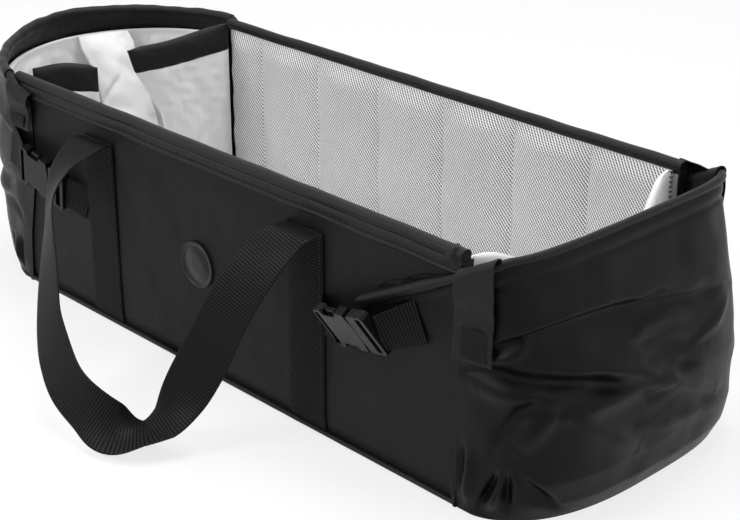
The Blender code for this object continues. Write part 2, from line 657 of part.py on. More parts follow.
def rim_path(end):
    """The rim tube's middle line, tangent to the inside face of the cloth."""
    angle, past = end_columns(end, wrap_steps=5, arc_steps=33)
    level = np.full_like(angle, end.rim_height)
    curve_past, across = end.outline(angle, level, RIM_TUBE_RADIUS)
    full_past = np.where(past < 0.0, past, curve_past)
    full_across = np.where(past < 0.0, np.sign(across) * (WRAP_FACE + RIM_TUBE_RADIUS), across)
    return end.world(full_past, full_across, end.top(full_past))


def arc_angles(end, start_past, height, out, steps):
    """Angles round the end that begin a given distance past the panels on both sides."""
    fine = np.linspace(-math.pi / 2, 0.0, 400)
    past = end.outline(fine, np.full_like(fine, height), out)[0]
    first = fine[np.argmax(past > start_past)]
    return np.linspace(first, -first, steps)


def make_end_facing(end):
    """Dark band inside the rim."""
    start = SIDE_BOARD_END_INSET
    out = -FACING_GAP
    angle = arc_angles(end, start, end.rim_height, out - FACING_THICKNESS, 21)
    top = np.full_like(angle, end.rim_height - 2 * RIM_TUBE_RADIUS)
    nominal = end.outline(angle, top, out)[0]
    high = np.minimum(top, end.top(nominal) - RIM_TUBE_RADIUS - CLEARANCE)
    low = np.minimum(end.rim_height - FACING_DROP, high - FACING_MIN_DROP)
    zero = np.zeros_like(angle)
    outer = end_grid(end, angle, zero, low, high, 3, out, False)
    inner = end_grid(end, angle, zero, low, high, 3, out - FACING_THICKNESS, False)
    return [sheet_solid(end.name + "_rim_facing", outer, inner, BINDING)]


def make_end_lining(end):
    """Soft white lining that stands inside the end wall, below the facing."""
    out = -LINING_STANDOFF
    inner_out = out - END_LINING_THICKNESS
    angle = arc_angles(end, SIDE_BOARD_END_INSET, end.rim_height, inner_out, 21)
    low = np.full_like(angle, FLOOR_LAYER)
    high = np.full_like(angle, end.rim_height - FACING_DROP - CLEARANCE)
    zero = np.zeros_like(angle)
    outer = end_grid(end, angle, zero, low, high, 6, out, False)
    inner = end_grid(end, angle, zero, low, high, 6, inner_out, False)
    return [sheet_solid(end.name + "_end_lining", outer, inner, COTTON)]


def make_pillow(end):
    """A crowned pad sewn to the head lining, leaning in between the lining flaps."""
    top_height = end.rim_height - FACING_DROP
    across_share = np.linspace(-1.0, 1.0, 9)
    up_share = np.linspace(0.0, 1.0, 9)
    u, v = np.meshgrid(across_share, up_share)
    height = PILLOW_BOTTOM + (top_height - PILLOW_BOTTOM) * v
    pinch = 1.0 - PILLOW_PINCH_SHARE * np.sin(math.pi * v)
    across = PILLOW_TOWARDS_FAR + PILLOW_WIDTH / 2 * u * pinch
    fine = np.linspace(-math.pi / 2, math.pi / 2, 200)
    inner = end.outline(fine, np.full_like(fine, top_height), -LINING_STANDOFF - END_LINING_THICKNESS)
    top_past = np.interp(across, inner[1], inner[0]) - PILLOW_EDGE_THICKNESS / 2 - CLEARANCE
    past = PILLOW_LOW_REACH + (top_past - PILLOW_LOW_REACH) * v ** PILLOW_LEAN_SHARE
    crown = (1.0 - np.abs(u) ** 2.5) * (1.0 - np.abs(2 * v - 1) ** 3.0)
    half = (PILLOW_EDGE_THICKNESS + (PILLOW_THICKNESS - PILLOW_EDGE_THICKNESS) * crown) / 2
    lean = math.atan2(end.reach - PILLOW_LOW_REACH, top_height)
    front = end.world(past - half * math.cos(lean), across, height + half * math.sin(lean))
    back = end.world(past + half * math.cos(lean), across, height - half * math.sin(lean))
    return [sheet_solid(end.name + "_pillow", front, back, COTTON)]


# Corner tabs

def tab_frame(end, sign):
    """The tab's hinge point on the rim tube, its width direction and its outward direction."""
    path = rim_path(end)
    past = (path[:, 0] - end.panel_x) * end.sign
    if end is FOOT_END:
        start = CLEARANCE
        stop = start + TAB_WIDTH
        turn = FOOT_TAB_TURN
    else:
        start = -end.wrap - TAB_WIDTH * HEAD_TAB_PAST_WRAP_SHARE
        stop = start + TAB_WIDTH
        turn = 0.0
    width_way = np.array([end.sign * math.cos(turn), -sign * math.sin(turn), 0.0])
    out_way = np.array([end.sign * math.sin(turn), sign * math.cos(turn), 0.0])
    mine = path[np.sign(path[:, 1]) == sign]
    mine_past = past[np.sign(path[:, 1]) == sign]
    reach = np.interp(np.linspace(start, stop, 9), np.sort(mine_past), np.arange(len(mine_past)))
    order = np.argsort(mine_past)
    rows = mine[order]
    samples = np.array([[np.interp(r, np.arange(len(rows)), rows[:, k]) for k in range(3)] for r in reach])
    out = np.max(samples @ out_way)
    middle_x = end.panel_x + end.sign * (start + stop) / 2
    height = np.max(samples[:, 2])
    base = np.array([middle_x, 0.0, height])
    pivot = base + out_way * (out - base @ out_way)
    pivot[0] = middle_x
    pivot[1] = (out - middle_x * out_way[0]) / out_way[1]
    return pivot, width_way, out_way


def make_tab(end, side, sign):
    """A strap tab: a short wrap over the tube, a flat drop, and a thicker patch at its end."""
    pivot, width_way, out_way = tab_frame(end, sign)
    length = TAB_LENGTH_FOOT if end is FOOT_END else TAB_LENGTH_HEAD
    inner = RIM_TUBE_RADIUS + 2 * CLEARANCE
    outer = inner + TAB_THICKNESS
    patch_top = -length * (1.0 - TAB_PATCH_SHARE)
    wrap = np.linspace(TAB_WRAP_ANGLE, 0.0, 5)
    profile = [(outer * math.cos(a), outer * math.sin(a)) for a in wrap]
    profile += [(outer, -length), (inner - TAB_PATCH_THICKNESS, -length), (inner - TAB_PATCH_THICKNESS, patch_top),
                (inner, patch_top)]
    profile += [(inner * math.cos(a), inner * math.sin(a)) for a in wrap[::-1]]
    rings = []
    for half in (-TAB_WIDTH / 2, TAB_WIDTH / 2):
        rings.append([pivot + width_way * half + out_way * o + np.array([0.0, 0.0, z]) for o, z in profile])
    item = swept_solid(side + "_" + end.name + "_tab", np.array(rings), NYLON_END, smooth=False)
    place_on_hinge(item, tuple(pivot))
    return item


# Lining flaps

def make_flap(name, root, way, length, bottom, top):
    """A soft upright flap that turns about its round sewn root and thins to its other edges."""
    radius = FLAP_THICKNESS / 2
    root_turn = np.radians([0.0, 30.0, 60.0, 90.0])
    body_share = np.array([0.3, 0.6, 0.85, 1.0])
    body_half = FLAP_EDGE_THICKNESS / 2 + (radius - FLAP_EDGE_THICKNESS / 2) * np.array([1.0, 1.0, 0.7, 0.0])
    distance = np.concatenate([-radius * np.cos(root_turn), length * body_share])
    thick = np.concatenate([radius * np.sin(root_turn), body_half])
    thick[0] = thick[1] / 4
    up_share = np.array([0.0, 0.06, 0.3, 0.7, 0.94, 1.0])
    distance, v = np.meshgrid(distance, up_share)
    half = thick[None, :] * np.array([0.5, 1.0, 1.0, 1.0, 1.0, 0.5])[:, None]
    way = unit(np.array(way))
    normal = np.array([-way[1], way[0]])
    x = root[0] + way[0] * distance
    y = root[1] + way[1] * distance
    z = bottom + (top - bottom) * v
    front = np.stack([x + normal[0] * half, y + normal[1] * half, z], axis=-1)
    back = np.stack([x - normal[0] * half, y - normal[1] * half, z], axis=-1)
    item = sheet_solid(name, front, back, COTTON)
    place_on_hinge(item, (root[0], root[1], bottom))


def flap_root(end, sign):
    """The flap's root stands just inside the end of the quilted lining."""
    end_puff = LINING_PUFF if end is HEAD_END else LINING_PUFF * FOOT_END_PUFF_SHARE
    face = LINING_OUTER - LINING_SEAM_THICKNESS - end_puff
    past = -LINING_END_INSET
    return (end.panel_x + end.sign * past, sign * (face - FLAP_THICKNESS / 2 - CLEARANCE))


# Direction of each flap in plan at rest: along +X and across, chosen by eye
FLAP_WAY_SHARES = {
    ("head", "near"): (0.53, 0.85),
    ("head", "far"): (-0.03, -1.0),
    ("foot", "near"): (0.28, 1.0),
    ("foot", "far"): (0.28, -1.0),
}


def make_flaps(end):
    top = HEAD_FLAP_TOP if end is HEAD_END else FOOT_FLAP_TOP
    for side, sign in SIDES:
        length = FOOT_FLAP_LENGTH
        if end is HEAD_END:
            length = HEAD_NEAR_FLAP_LENGTH if side == "near" else HEAD_FAR_FLAP_LENGTH
        make_flap(side + "_" + end.name + "_flap", flap_root(end, sign), FLAP_WAY_SHARES[(end.name, side)],
                  length, FLAP_BOTTOM, top)


# Mattress

def make_mattress():
    """A thin crowned mattress with rounded corners between the lining flaps."""
    low = FLOOR_LAYER + BASE_BOARD_THICKNESS + CLEARANCE
    start = HEAD_PANEL_X + MATTRESS_HEAD_GAP
    stop = FOOT_PANEL_X - MATTRESS_FOOT_GAP
    half_length = (stop - start) / 2
    half_width = LINING_INNER - MATTRESS_SIDE_GAP
    turn = np.linspace(0.0, 2 * math.pi, 40, endpoint=False)
    power = 2.0 / MATTRESS_CORNER_SHARPNESS
    unit_x = np.sign(np.cos(turn)) * np.abs(np.cos(turn)) ** power
    unit_y = np.sign(np.sin(turn)) * np.abs(np.sin(turn)) ** power
    size_shares = [0.985, 1.0, 1.0, 0.985, 0.93, 0.75, 0.45]
    level_shares = [0.0, 0.15, 0.6, 0.82, 0.9, 0.97, 1.0]
    rings = []
    for size, level in zip(size_shares, level_shares):
        edge = half_width * (1.0 - size)
        ring = np.column_stack([(start + stop) / 2 + unit_x * (half_length - edge), unit_y * (half_width - edge),
                                np.full_like(turn, low + MATTRESS_THICKNESS * level)])
        rings.append(ring)
    swept_solid("mattress", np.array(rings), COTTON)


# Buckles

class BuckleFrame:
    """A buckle's own axes: along from socket to plug, up its width, and out from the side."""

    def __init__(self, end, side, sign):
        self.end = end
        self.sign = sign
        self.label = side + "_" + end.name
        if end is FOOT_END:
            slope, lean, swing = FOOT_BUCKLE_SLOPE, FOOT_BUCKLE_LEAN, FOOT_BUCKLE_SWING
            inward, height, out = FOOT_BUCKLE_FROM_PANEL_END, FOOT_BUCKLE_HEIGHT, FOOT_BUCKLE_OUT
        else:
            slope, lean, swing = HEAD_BUCKLE_SLOPE, HEAD_BUCKLE_LEAN, HEAD_BUCKLE_SWING
            inward, height, out = HEAD_BUCKLE_FROM_PANEL_END, HEAD_BUCKLE_HEIGHT, HEAD_BUCKLE_OUT
        away = np.array([0.0, float(sign), 0.0])
        flat = np.array([math.cos(slope), 0.0, math.sin(slope)])
        rise = np.array([-math.sin(slope), 0.0, math.cos(slope)])
        self.along = flat * math.cos(swing) + away * math.sin(swing)
        leaned = rise * math.cos(lean) + away * math.sin(lean)
        self.up = unit(leaned - self.along * (leaned @ self.along))
        self.out = np.cross(self.along, self.up) * -sign
        middle = np.array([end.panel_x - end.sign * inward, sign * (HALF_WIDTH + out), height])
        total = SOCKET_LENGTH + PLUG_MOUTH_GAP + PLUG_LENGTH
        self.mouth = middle + self.along * (SOCKET_LENGTH - total / 2)

    def point(self, along, up, out=0.0):
        return self.mouth + self.along * along + self.up * up + self.out * out

    def block(self, name, outline, depth):
        """A plate with an outline of (along, up) points, set about the buckle's middle plane."""
        rings = []
        for out in (-depth / 2, depth / 2):
            rings.append([self.point(a, b, out) for a, b in outline])
        return swept_solid(name, np.array(rings), PLASTIC, smooth=False)

    def cutter(self, start, stop, half, depth):
        outline = [(start, -half), (stop, -half), (stop, half), (start, half)]
        item = self.block("cutter", outline, depth)
        item.hide_render = True
        item.display_type = "WIRE"
        return item


def mirrored(upper):
    return upper + [(a, -b) for a, b in reversed(upper)]


def combine(item, other, operation):
    step = item.modifiers.new(operation.lower(), "BOOLEAN")
    step.operation = operation
    step.solver = "EXACT"
    step.object = other


def make_socket(frame):
    """Female half: a flat box with a slotted end, a mouth, and a notch on each edge."""
    half = BUCKLE_WIDTH / 2
    narrow = half - NOTCH_DEPTH
    over = BOOLEAN_OVERRUN
    length = SOCKET_LENGTH
    upper = [(0.0, half / 4), (-MOUTH_CURVE / 4, half / 2), (-MOUTH_CURVE, half), (-NOTCH_START, half),
             (-NOTCH_START - NOTCH_SLOPE, narrow), (-NOTCH_END + NOTCH_SLOPE, narrow), (-NOTCH_END, half),
             (-length + NOTCH_SLOPE, half), (-length, half - NOTCH_SLOPE)]
    item = frame.block(frame.label + "_buckle_socket", mirrored(upper), BUCKLE_THICKNESS)
    cavity = frame.cutter(-length + SOCKET_BLOCK, over, half - SOCKET_WALL, BUCKLE_THICKNESS - 2 * PLATE_THICKNESS)
    slot_start = -length + SOCKET_BAR
    slot = frame.cutter(slot_start, slot_start + SOCKET_SLOT, SLOT_LENGTH / 2, BUCKLE_THICKNESS + over)
    combine(item, cavity, "DIFFERENCE")
    combine(item, slot, "DIFFERENCE")
    return item


def make_plug(frame):
    """Male half: a thick bar, a slotted frame and a middle guide that runs into the socket."""
    half = BUCKLE_WIDTH / 2
    over = BOOLEAN_OVERRUN
    start = PLUG_MOUTH_GAP
    stop = start + PLUG_LENGTH
    slope = NOTCH_SLOPE
    upper = [(stop, half - slope), (stop - slope, half), (start + slope, half), (start, half - slope)]
    item = frame.block(frame.label + "_buckle_plug", mirrored(upper), BUCKLE_THICKNESS)
    slot = frame.cutter(start + PLUG_BAR, start + PLUG_BAR + PLUG_SLOT, SLOT_LENGTH / 2, BUCKLE_THICKNESS + over)
    combine(item, slot, "DIFFERENCE")
    guide = frame.cutter(-GUIDE_LENGTH, start + PLUG_BAR / 2, GUIDE_WIDTH / 2, ARM_THICKNESS)
    combine(item, guide, "UNION")
    return item


def make_arm(frame, word, way):
    """One springy prong: a stem from the plug and a barb that catches behind the notch."""
    root = ARM_ROOT_OFFSET
    stem = ARM_STEM / 2
    outer = BUCKLE_WIDTH / 2 - ARM_BARB_INSET
    barb_start = -ARM_LENGTH + ARM_BARB
    outline = [(0.0, root - stem), (0.0, root + stem), (barb_start + stem, root + stem),
               (barb_start, outer), (-ARM_LENGTH + 2 * stem, outer), (-ARM_LENGTH, root + stem),
               (-ARM_LENGTH, root - stem)]
    outline = [(a, way * b) for a, b in outline]
    item = frame.block(frame.label + "_buckle_" + word + "_arm", outline, ARM_THICKNESS)
    place_on_hinge(item, tuple(frame.point(0.0, way * root)))
    return item


def strap_strip(name, frame, start_along, end_line, ease):
    """A short strap from a buckle's end to a sewn line; ease sets how soon it drops to it."""
    share = np.linspace(0.0, 1.0, STRAP_STEPS)[:, None]
    half = STRAP_WIDTH / 2
    edges = []
    for way, stop in zip((-half, half), end_line):
        start = frame.point(start_along, way)
        edge = start + (np.array(stop) - start) * share
        edge[:, 1] = start[1] + (stop[1] - start[1]) * share[:, 0] ** ease
        edges.append(edge)
    across = edges[1] - edges[0]
    run = unit(np.gradient((edges[0] + edges[1]) / 2, axis=0))
    normal = unit(np.cross(run, across))
    facing = np.sign(np.sum(normal * frame.out, axis=1, keepdims=True))
    normal = normal * facing
    normal[0] = frame.out
    normal[-1] = [0.0, frame.sign, 0.0]
    normal = normal * WEBBING_THICKNESS / 2
    rings = np.stack([edges[0] - normal, edges[1] - normal, edges[1] + normal, edges[0] + normal], axis=1)
    return swept_solid(name, rings, WEBBING)


def make_panel_strap(frame):
    """Strap from the buckle to the edge of the webbing sewn down the side."""
    foot = frame.end is FOOT_END
    word = "_socket_strap" if foot else "_plug_strap"
    start = -SOCKET_LENGTH - CLEARANCE if foot else PLUG_MOUTH_GAP + PLUG_LENGTH + CLEARANCE
    webbing_x = FOOT_WEBBING_X if foot else HEAD_WEBBING_X
    edge_x = webbing_x + frame.end.sign * (WEBBING_WIDTH / 2 + CLEARANCE)
    out = frame.sign * (HALF_WIDTH + CLEARANCE + WEBBING_THICKNESS / 2)
    half = STRAP_WIDTH / 2
    middle = frame.point(start, 0.0)
    height = middle[2] + (edge_x - middle[0]) * frame.along[2] / frame.along[0]
    end_line = [(edge_x, out, height - half), (edge_x, out, height + half)]
    return strap_strip(frame.label + word, frame, start, end_line, 0.8)


def make_end_strap(frame):
    """Strap from the buckle to where it is sewn on the cloth end."""
    foot = frame.end is FOOT_END
    word = "_plug_strap" if foot else "_socket_strap"
    start = PLUG_MOUTH_GAP + PLUG_LENGTH + CLEARANCE if foot else -SOCKET_LENGTH - CLEARANCE
    if foot:
        high = (FOOT_STRAP_HIGH_PAST, FOOT_STRAP_HIGH)
        low = (FOOT_STRAP_LOW_PAST, FOOT_STRAP_LOW)
    else:
        high = (HEAD_STRAP_HIGH_PAST, HEAD_STRAP_HIGH)
        low = (HEAD_STRAP_LOW_PAST, HEAD_STRAP_LOW)
    out = frame.sign * (WRAP_FACE + CLOTH_THICKNESS + CLEARANCE + WEBBING_THICKNESS / 2)
    end_line = [(frame.end.panel_x + frame.end.sign * past, out, height) for past, height in (low, high)]
    return strap_strip(frame.label + word, frame, start, end_line, 0.8)


def make_buckle(end, side, sign):
    frame = BuckleFrame(end, side, sign)
    make_socket(frame)
    make_plug(frame)
    make_arm(frame, "upper", 1.0)
    make_arm(frame, "lower", -1.0)
    make_panel_strap(frame)
    make_end_strap(frame)


def build():
    clear_scene()
    make_base()
    make_badge()
    make_mattress()
    for side, sign in SIDES:
        make_side(side, sign)
        make_sewn_webbing(side + "_head_webbing", sign, HEAD_WEBBING_X)
        make_sewn_webbing(side + "_foot_webbing", sign, FOOT_WEBBING_X)
        make_handle(side, sign)
    for end in ENDS:
        make_end_wall(end)
        make_end_facing(end)
        make_end_lining(end)
        make_flaps(end)
        for side, sign in SIDES:
            make_tab(end, side, sign)
            make_buckle(end, side, sign)
    make_pillow(HEAD_END)


build()
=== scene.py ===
"""Looks of a soft carrycot: dark nylon shell, bound rims, webbing handles, buckles, pale quilted lining.

Frame: metres, +Z up, +X to the foot end, +Y to the far side, the floor at z = 0.
"""
import math
from functools import partial

import bmesh
import bpy
import numpy as np
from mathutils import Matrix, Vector


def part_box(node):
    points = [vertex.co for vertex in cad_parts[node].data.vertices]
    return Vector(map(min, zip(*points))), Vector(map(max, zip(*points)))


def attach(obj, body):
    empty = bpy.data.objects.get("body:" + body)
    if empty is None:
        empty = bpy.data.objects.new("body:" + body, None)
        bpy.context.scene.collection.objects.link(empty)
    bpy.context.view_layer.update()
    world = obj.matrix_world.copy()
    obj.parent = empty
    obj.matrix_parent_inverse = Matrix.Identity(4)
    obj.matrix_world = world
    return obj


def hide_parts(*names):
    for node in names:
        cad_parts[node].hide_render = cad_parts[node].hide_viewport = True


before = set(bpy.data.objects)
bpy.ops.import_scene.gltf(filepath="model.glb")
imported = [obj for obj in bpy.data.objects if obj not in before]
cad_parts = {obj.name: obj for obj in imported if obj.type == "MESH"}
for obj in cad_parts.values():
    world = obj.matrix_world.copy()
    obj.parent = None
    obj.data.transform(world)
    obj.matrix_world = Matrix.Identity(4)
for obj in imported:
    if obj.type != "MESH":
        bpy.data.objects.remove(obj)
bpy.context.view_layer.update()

# Camera, floor and light

CAMERA_PLACE = Vector((1.209, -1.0752, 0.7979))
CAMERA_BACK = Vector((0.6601, -0.6313, 0.4071))
LENS = 82.26
FLOOR_HALF = 9.0
FLOOR_GLOW = 0.78
STUDIO_LIGHT = 0.46
WHITE = (1, 1, 1, 1)
# Soft boxes: name, place, target, side and power.
LAMPS = [("top_box", (-0.1, 0.3, 2.1), (0.0, 0.0, 0.1), 1.1, 31.0),
         ("front_box", (-0.9, -2.0, 1.7), (0.0, 0.0, 0.1), 1.0, 31.0),
         ("foot_box", (2.3, 0.4, 1.3), (0.3, 0.0, 0.12), 0.8, 6.0)]


def aim(name, data, place, way):
    """Put a camera or a lamp at its place, looking along a way."""
    holder = bpy.data.objects.new(name, data)
    bpy.context.scene.collection.objects.link(holder)
    holder.location = place
    holder.rotation_mode = "QUATERNION"
    holder.rotation_quaternion = way.to_track_quat("-Z", "Y")
    return holder


def make_camera():
    lens = bpy.data.cameras.new("photo_camera")
    lens.lens = LENS
    lens.sensor_width = 36.0
    lens.sensor_fit = "HORIZONTAL"
    lens.clip_end = 50.0
    bpy.context.scene.camera = aim("photo_camera", lens, CAMERA_PLACE, -CAMERA_BACK)


def fill(node, inputs):
    """Give a node its inputs: a socket is linked, a plain value is set."""
    for label, value in dict(inputs).items():
        if isinstance(value, bpy.types.NodeSocket):
            node.id_data.links.new(value, node.inputs[label])
        else:
            node.inputs[label].default_value = value
    return node


def add_node(tree, kind, inputs=(), **settings):
    node = tree.nodes.new("ShaderNode" + kind)
    for name, value in settings.items():
        setattr(node, name, value)
    return fill(node, inputs)


def calculate(tree, operation, *values):
    """A Math node's output socket; the values are sockets or plain numbers."""
    return add_node(tree, "Math", enumerate(values), operation=operation).outputs[0]


def seen_directly(tree):
    """1 for rays from the camera, from a reflection or through something clear."""
    path = add_node(tree, "LightPath").outputs
    first = calculate(tree, "MAXIMUM", path["Is Camera Ray"], path["Is Glossy Ray"])
    return calculate(tree, "MAXIMUM", first, path["Is Transmission Ray"])


def mix_shaders(tree, share, first, second, output):
    """Blend two shaders by a share and send the result to the output node."""
    mix = add_node(tree, "MixShader", enumerate((share, first.outputs[0], second.outputs[0])))
    fill(tree.nodes[output], {"Surface": mix.outputs[0]})


def make_stage():
    """A pale floor and a studio that both look white where they are seen directly, and the soft boxes."""
    mesh = bpy.data.meshes.new("floor")
    s = FLOOR_HALF
    mesh.from_pydata([(-s, -s, 0), (s, -s, 0), (s, s, 0), (-s, s, 0)], [], [(0, 1, 2, 3)])
    floor = bpy.data.objects.new("floor", mesh)
    bpy.context.scene.collection.objects.link(floor)
    material = bpy.data.materials.new("pale_floor")
    material.use_nodes = True
    tree = material.node_tree
    shader = fill(tree.nodes["Principled BSDF"],
                  {"Base Color": (0.90, 0.90, 0.90, 1), "Roughness": 0.9, "Specular IOR Level": 0.1})
    glow = add_node(tree, "Emission", {"Color": WHITE})
    mix_shaders(tree, calculate(tree, "MULTIPLY", seen_directly(tree), FLOOR_GLOW), shader, glow, "Material Output")
    mesh.materials.append(material)
    world = bpy.data.worlds.new("studio")
    bpy.context.scene.world = world
    world.use_nodes = True
    tree = world.node_tree
    soft = fill(tree.nodes["Background"], {"Color": WHITE, "Strength": STUDIO_LIGHT})
    white = add_node(tree, "Background", {"Strength": 1.0})
    mix_shaders(tree, seen_directly(tree), soft, white, "World Output")
    for name, place, target, size, power in LAMPS:
        lamp = bpy.data.lights.new(name, "AREA")
        lamp.shape = "SQUARE"
        lamp.size = size
        lamp.energy = power
        aim(name, lamp, place, Vector(target) - Vector(place))


make_camera()
make_stage()
bpy.context.scene.view_settings.view_transform = "Standard"

# Places taken from the frame, and measures that many pieces share

PANEL_LOW, PANEL_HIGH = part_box("near_outer_panel")
RIM_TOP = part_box("near_rim_binding")[1].z
BASE_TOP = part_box("base_cover")[1].z
HEAD_X, FOOT_X = PANEL_LOW.x, PANEL_HIGH.x
HALF_WIDTH = -PANEL_LOW.y
GAP = 0.0003  # between pieces that lie on each other
FLOOR_GAP = 0.0004  # under cloth that hangs down to the floor
CLOTH = 0.002  # thickness
WRAP_FACE = HALF_WIDTH + GAP  # inner face of what lies on a side
WEBBING = 0.002  # thickness
WEBBING_WIDTH = 0.050
HEAD_WEBBING_X, FOOT_WEBBING_X = -0.158, 0.159
SHORT_STRAP_WIDTH = 0.039
TUBE_RADIUS = 0.0035  # of the stuffed hem round an end's rim
BAND_DROP = 0.030  # from an end's rim down to its white lining
RIB_PITCH = 0.0030
MM = 0.001
QUARTER = math.pi / 2
SIDES = (("near", -1), ("far", 1))

# Shapes from grids


def xyz(*parts):
    """Points from their coordinates (or U and V), which are arrays or numbers that fit one another."""
    return np.stack(np.broadcast_arrays(*parts), axis=-1)


def unit(v):
    return v / np.maximum(np.linalg.norm(v, axis=-1, keepdims=True), 1e-12)


def signed_power(x, power):
    return np.sign(x) * np.abs(x) ** power


def ease(low, high, x):
    """0 below low, 1 above high, and a smooth step between."""
    t = np.clip((np.asarray(x, float) - low) / (high - low), 0.0, 1.0)
    return t * t * (3 - 2 * t)


def bump(x, centre, width):
    """A soft hill of height 1: the exponential of minus the squared distance in widths."""
    return np.exp(-((np.asarray(x, float) - centre) / width) ** 2)


def ripples(u, v, size, seed, waves=14):
    """Even, smooth unevenness between about -1 and 1: a sum of sine waves in seeded directions."""
    source = np.random.RandomState(seed)
    total = np.zeros(np.broadcast(u, v).shape)
    for turn, phase, scale in zip(source.uniform(0, math.pi, waves), source.uniform(0, 2 * math.pi, waves),
                                  source.uniform(0.6, 1.9, waves)):
        k = 2 * math.pi / (size * scale)
        total = total + np.sin(k * (u * math.cos(turn) + v * math.sin(turn)) + phase)
    return total / math.sqrt(waves) / 1.4


def curve_through(points, count):
    """A smooth curve through points (Catmull-Rom pieces), sampled evenly in the points' own numbering."""
    p = np.array(points, float)
    p = np.vstack([2 * p[0] - p[1], p, 2 * p[-1] - p[-2]])
    s = np.linspace(0, len(points) - 1 - 1e-9, count)
    i = s.astype(int)
    t = (s - i)[:, None]
    a, b, c, d = p[i], p[i + 1], p[i + 2], p[i + 3]
    return 0.5 * (2 * b + (c - a) * t + (2 * a - 5 * b + 4 * c - d) * t ** 2 + (3 * b - a - 3 * c + d) * t ** 3)


def lengths(path):
    """Distance along a row of points from its start."""
    return np.concatenate([[0.0], np.cumsum(np.linalg.norm(np.diff(path, axis=0), axis=1))])


def circle(sides):
    return np.linspace(0, 2 * math.pi, sides, endpoint=False)


def keep_off_floor(*grids):
    for grid in grids:
        grid[..., 2] = np.maximum(grid[..., 2], FLOOR_GAP)


def settle(name, mesh, body, node=None):
    """Link a mesh as a piece that rides on its body and takes the place of a node."""
    item = bpy.data.objects.new(name, mesh)
    bpy.context.scene.collection.objects.link(item)
    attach(item, body)
    if node:
        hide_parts(node)
    return item


def put_piece(name, points, faces, uv, material, body, node=None):
    """Make the mesh and its UV map, turn its faces outwards, and settle it."""
    mesh = bpy.data.meshes.new(name)
    mesh.from_pydata(points.reshape(-1, 3).tolist(), [], faces)
    work = bmesh.new()
    work.from_mesh(mesh)
    bmesh.ops.recalc_face_normals(work, faces=work.faces)
    work.to_mesh(mesh)
    work.free()
    if uv is not None:
        corner = np.zeros(len(mesh.loops), np.int32)
        mesh.loops.foreach_get("vertex_index", corner)
        layer = mesh.uv_layers.new(name="UVMap")
        layer.uv.foreach_set("vector", uv.astype(np.float32).reshape(-1, 2)[corner].ravel())
    mesh.shade_smooth()
    mesh.set_sharp_from_angle(angle=math.radians(55))
    for m in material if isinstance(material, list) else [material]:
        mesh.materials.append(m)
    return settle(name, mesh, body, node)


def quads(rows, columns, offset=0, closed=False):
    index = np.arange(rows * columns).reshape(rows, columns) + offset
    right = np.roll(index, -1, axis=1) if closed else index[:, 1:]
    left = index if closed else index[:, :-1]
    return np.stack([left[:-1], right[:-1], right[1:], left[1:]], axis=-1).reshape(-1, 4)


def two_faced(name, front, back, material, body, node=None, uv=None):
    """A closed sheet: a front grid, a back grid and a rim of faces that joins their edges.

    Its UV is in metres; unless given, it is the distance along the middle row and up the middle column.
    """
    rows, columns = front.shape[:2]
    count = rows * columns
    index = np.arange(count).reshape(rows, columns)
    border = np.concatenate([index[0, :], index[1:, -1], index[-1, -2::-1], index[-2:0:-1, 0]])
    after = np.roll(border, -1)
    rim = np.stack([after, border, border + count, after + count], axis=-1)
    faces = np.concatenate([quads(rows, columns), quads(rows, columns, count)[:, ::-1], rim])
    if uv is None:
        uv = xyz(lengths(front[rows // 2]), lengths(front[:, columns // 2])[:, None])
    return put_piece(name, np.array([front, back]), faces.tolist(), np.array([uv, uv]), material, body, node)


def carried(name, rings, material, body, node=None):
    """A closed profile carried along a path: rings of points with a flat cap on each end."""
    count, sides = rings.shape[:2]
    faces = quads(count, sides, closed=True).tolist()
    faces += [list(range(sides)), list(range((count - 1) * sides, count * sides))]
    along = lengths(rings.mean(axis=1))
    return put_piece(name, rings, faces, xyz(along[:, None], lengths(rings[count // 2])), material, body, node)


def tube_rings(path, radius, sides):
    """Round rings about a path, upright where they can be."""
    run = unit(np.gradient(path, axis=0))
    side = unit(np.cross(run, np.array([0.0, 0.0, 1.0])))
    lift = np.cross(side, run)
    turn = circle(sides)[:, None]
    return path[:, None] + radius[:, None, None] * (np.cos(turn) * side[:, None] + np.sin(turn) * lift[:, None])


def stitches(name, path, out, body, length=0.0024, space=0.0011, radius=0.00028, material=None):
    """A row of sewn stitches: small lens-shaped threads laid end to end on a path, standing out of the cloth."""
    n = 5  # rings of a stitch, and sides of a ring
    girth = np.array([0.35, 0.9, 1.0, 0.9, 0.35])[:, None, None]
    out = unit(np.broadcast_to(np.asarray(out, float), path.shape))
    far = lengths(path)
    starts = np.arange(space, far[-1] - length, length + space)
    at = starts[:, None] + length * np.linspace(0, 1, n)
    centre, lift = [xyz(*[np.interp(at, far, row[:, k]) for k in range(3)]) for row in (path, out)]
    lift = unit(lift)
    side = unit(np.cross(unit(np.gradient(centre, axis=1)), lift))
    turn = circle(n)[:, None]
    ring = np.cos(turn) * side[:, :, None] * 1.2 + np.sin(turn) * lift[:, :, None]
    points = centre[:, :, None] + radius * girth * ring
    first = n * n * np.arange(len(starts))[:, None, None]
    caps = np.array([range(n), range(n * n - n, n * n)])
    faces = (quads(n, n, closed=True) + first).reshape(-1, 4).tolist() + (caps + first).reshape(-1, n).tolist()
    put_piece(name, points, faces, None, material or THREAD, body)


# Finishes


def start_group(name, outputs, **numbers):
    """A node group that takes a vector and numbers with these defaults."""
    group = bpy.data.node_groups.new(name, "ShaderNodeTree")
    group.interface.new_socket(name="Vector", in_out="INPUT", socket_type="NodeSocketVector")
    for label, value in numbers.items():
        group.interface.new_socket(name=label, in_out="INPUT", socket_type="NodeSocketFloat").default_value = value
    for label in outputs:
        group.interface.new_socket(name=label, in_out="OUTPUT", socket_type="NodeSocketFloat")
    return group, group.nodes.new("NodeGroupInput").outputs, group.nodes.new("NodeGroupOutput")


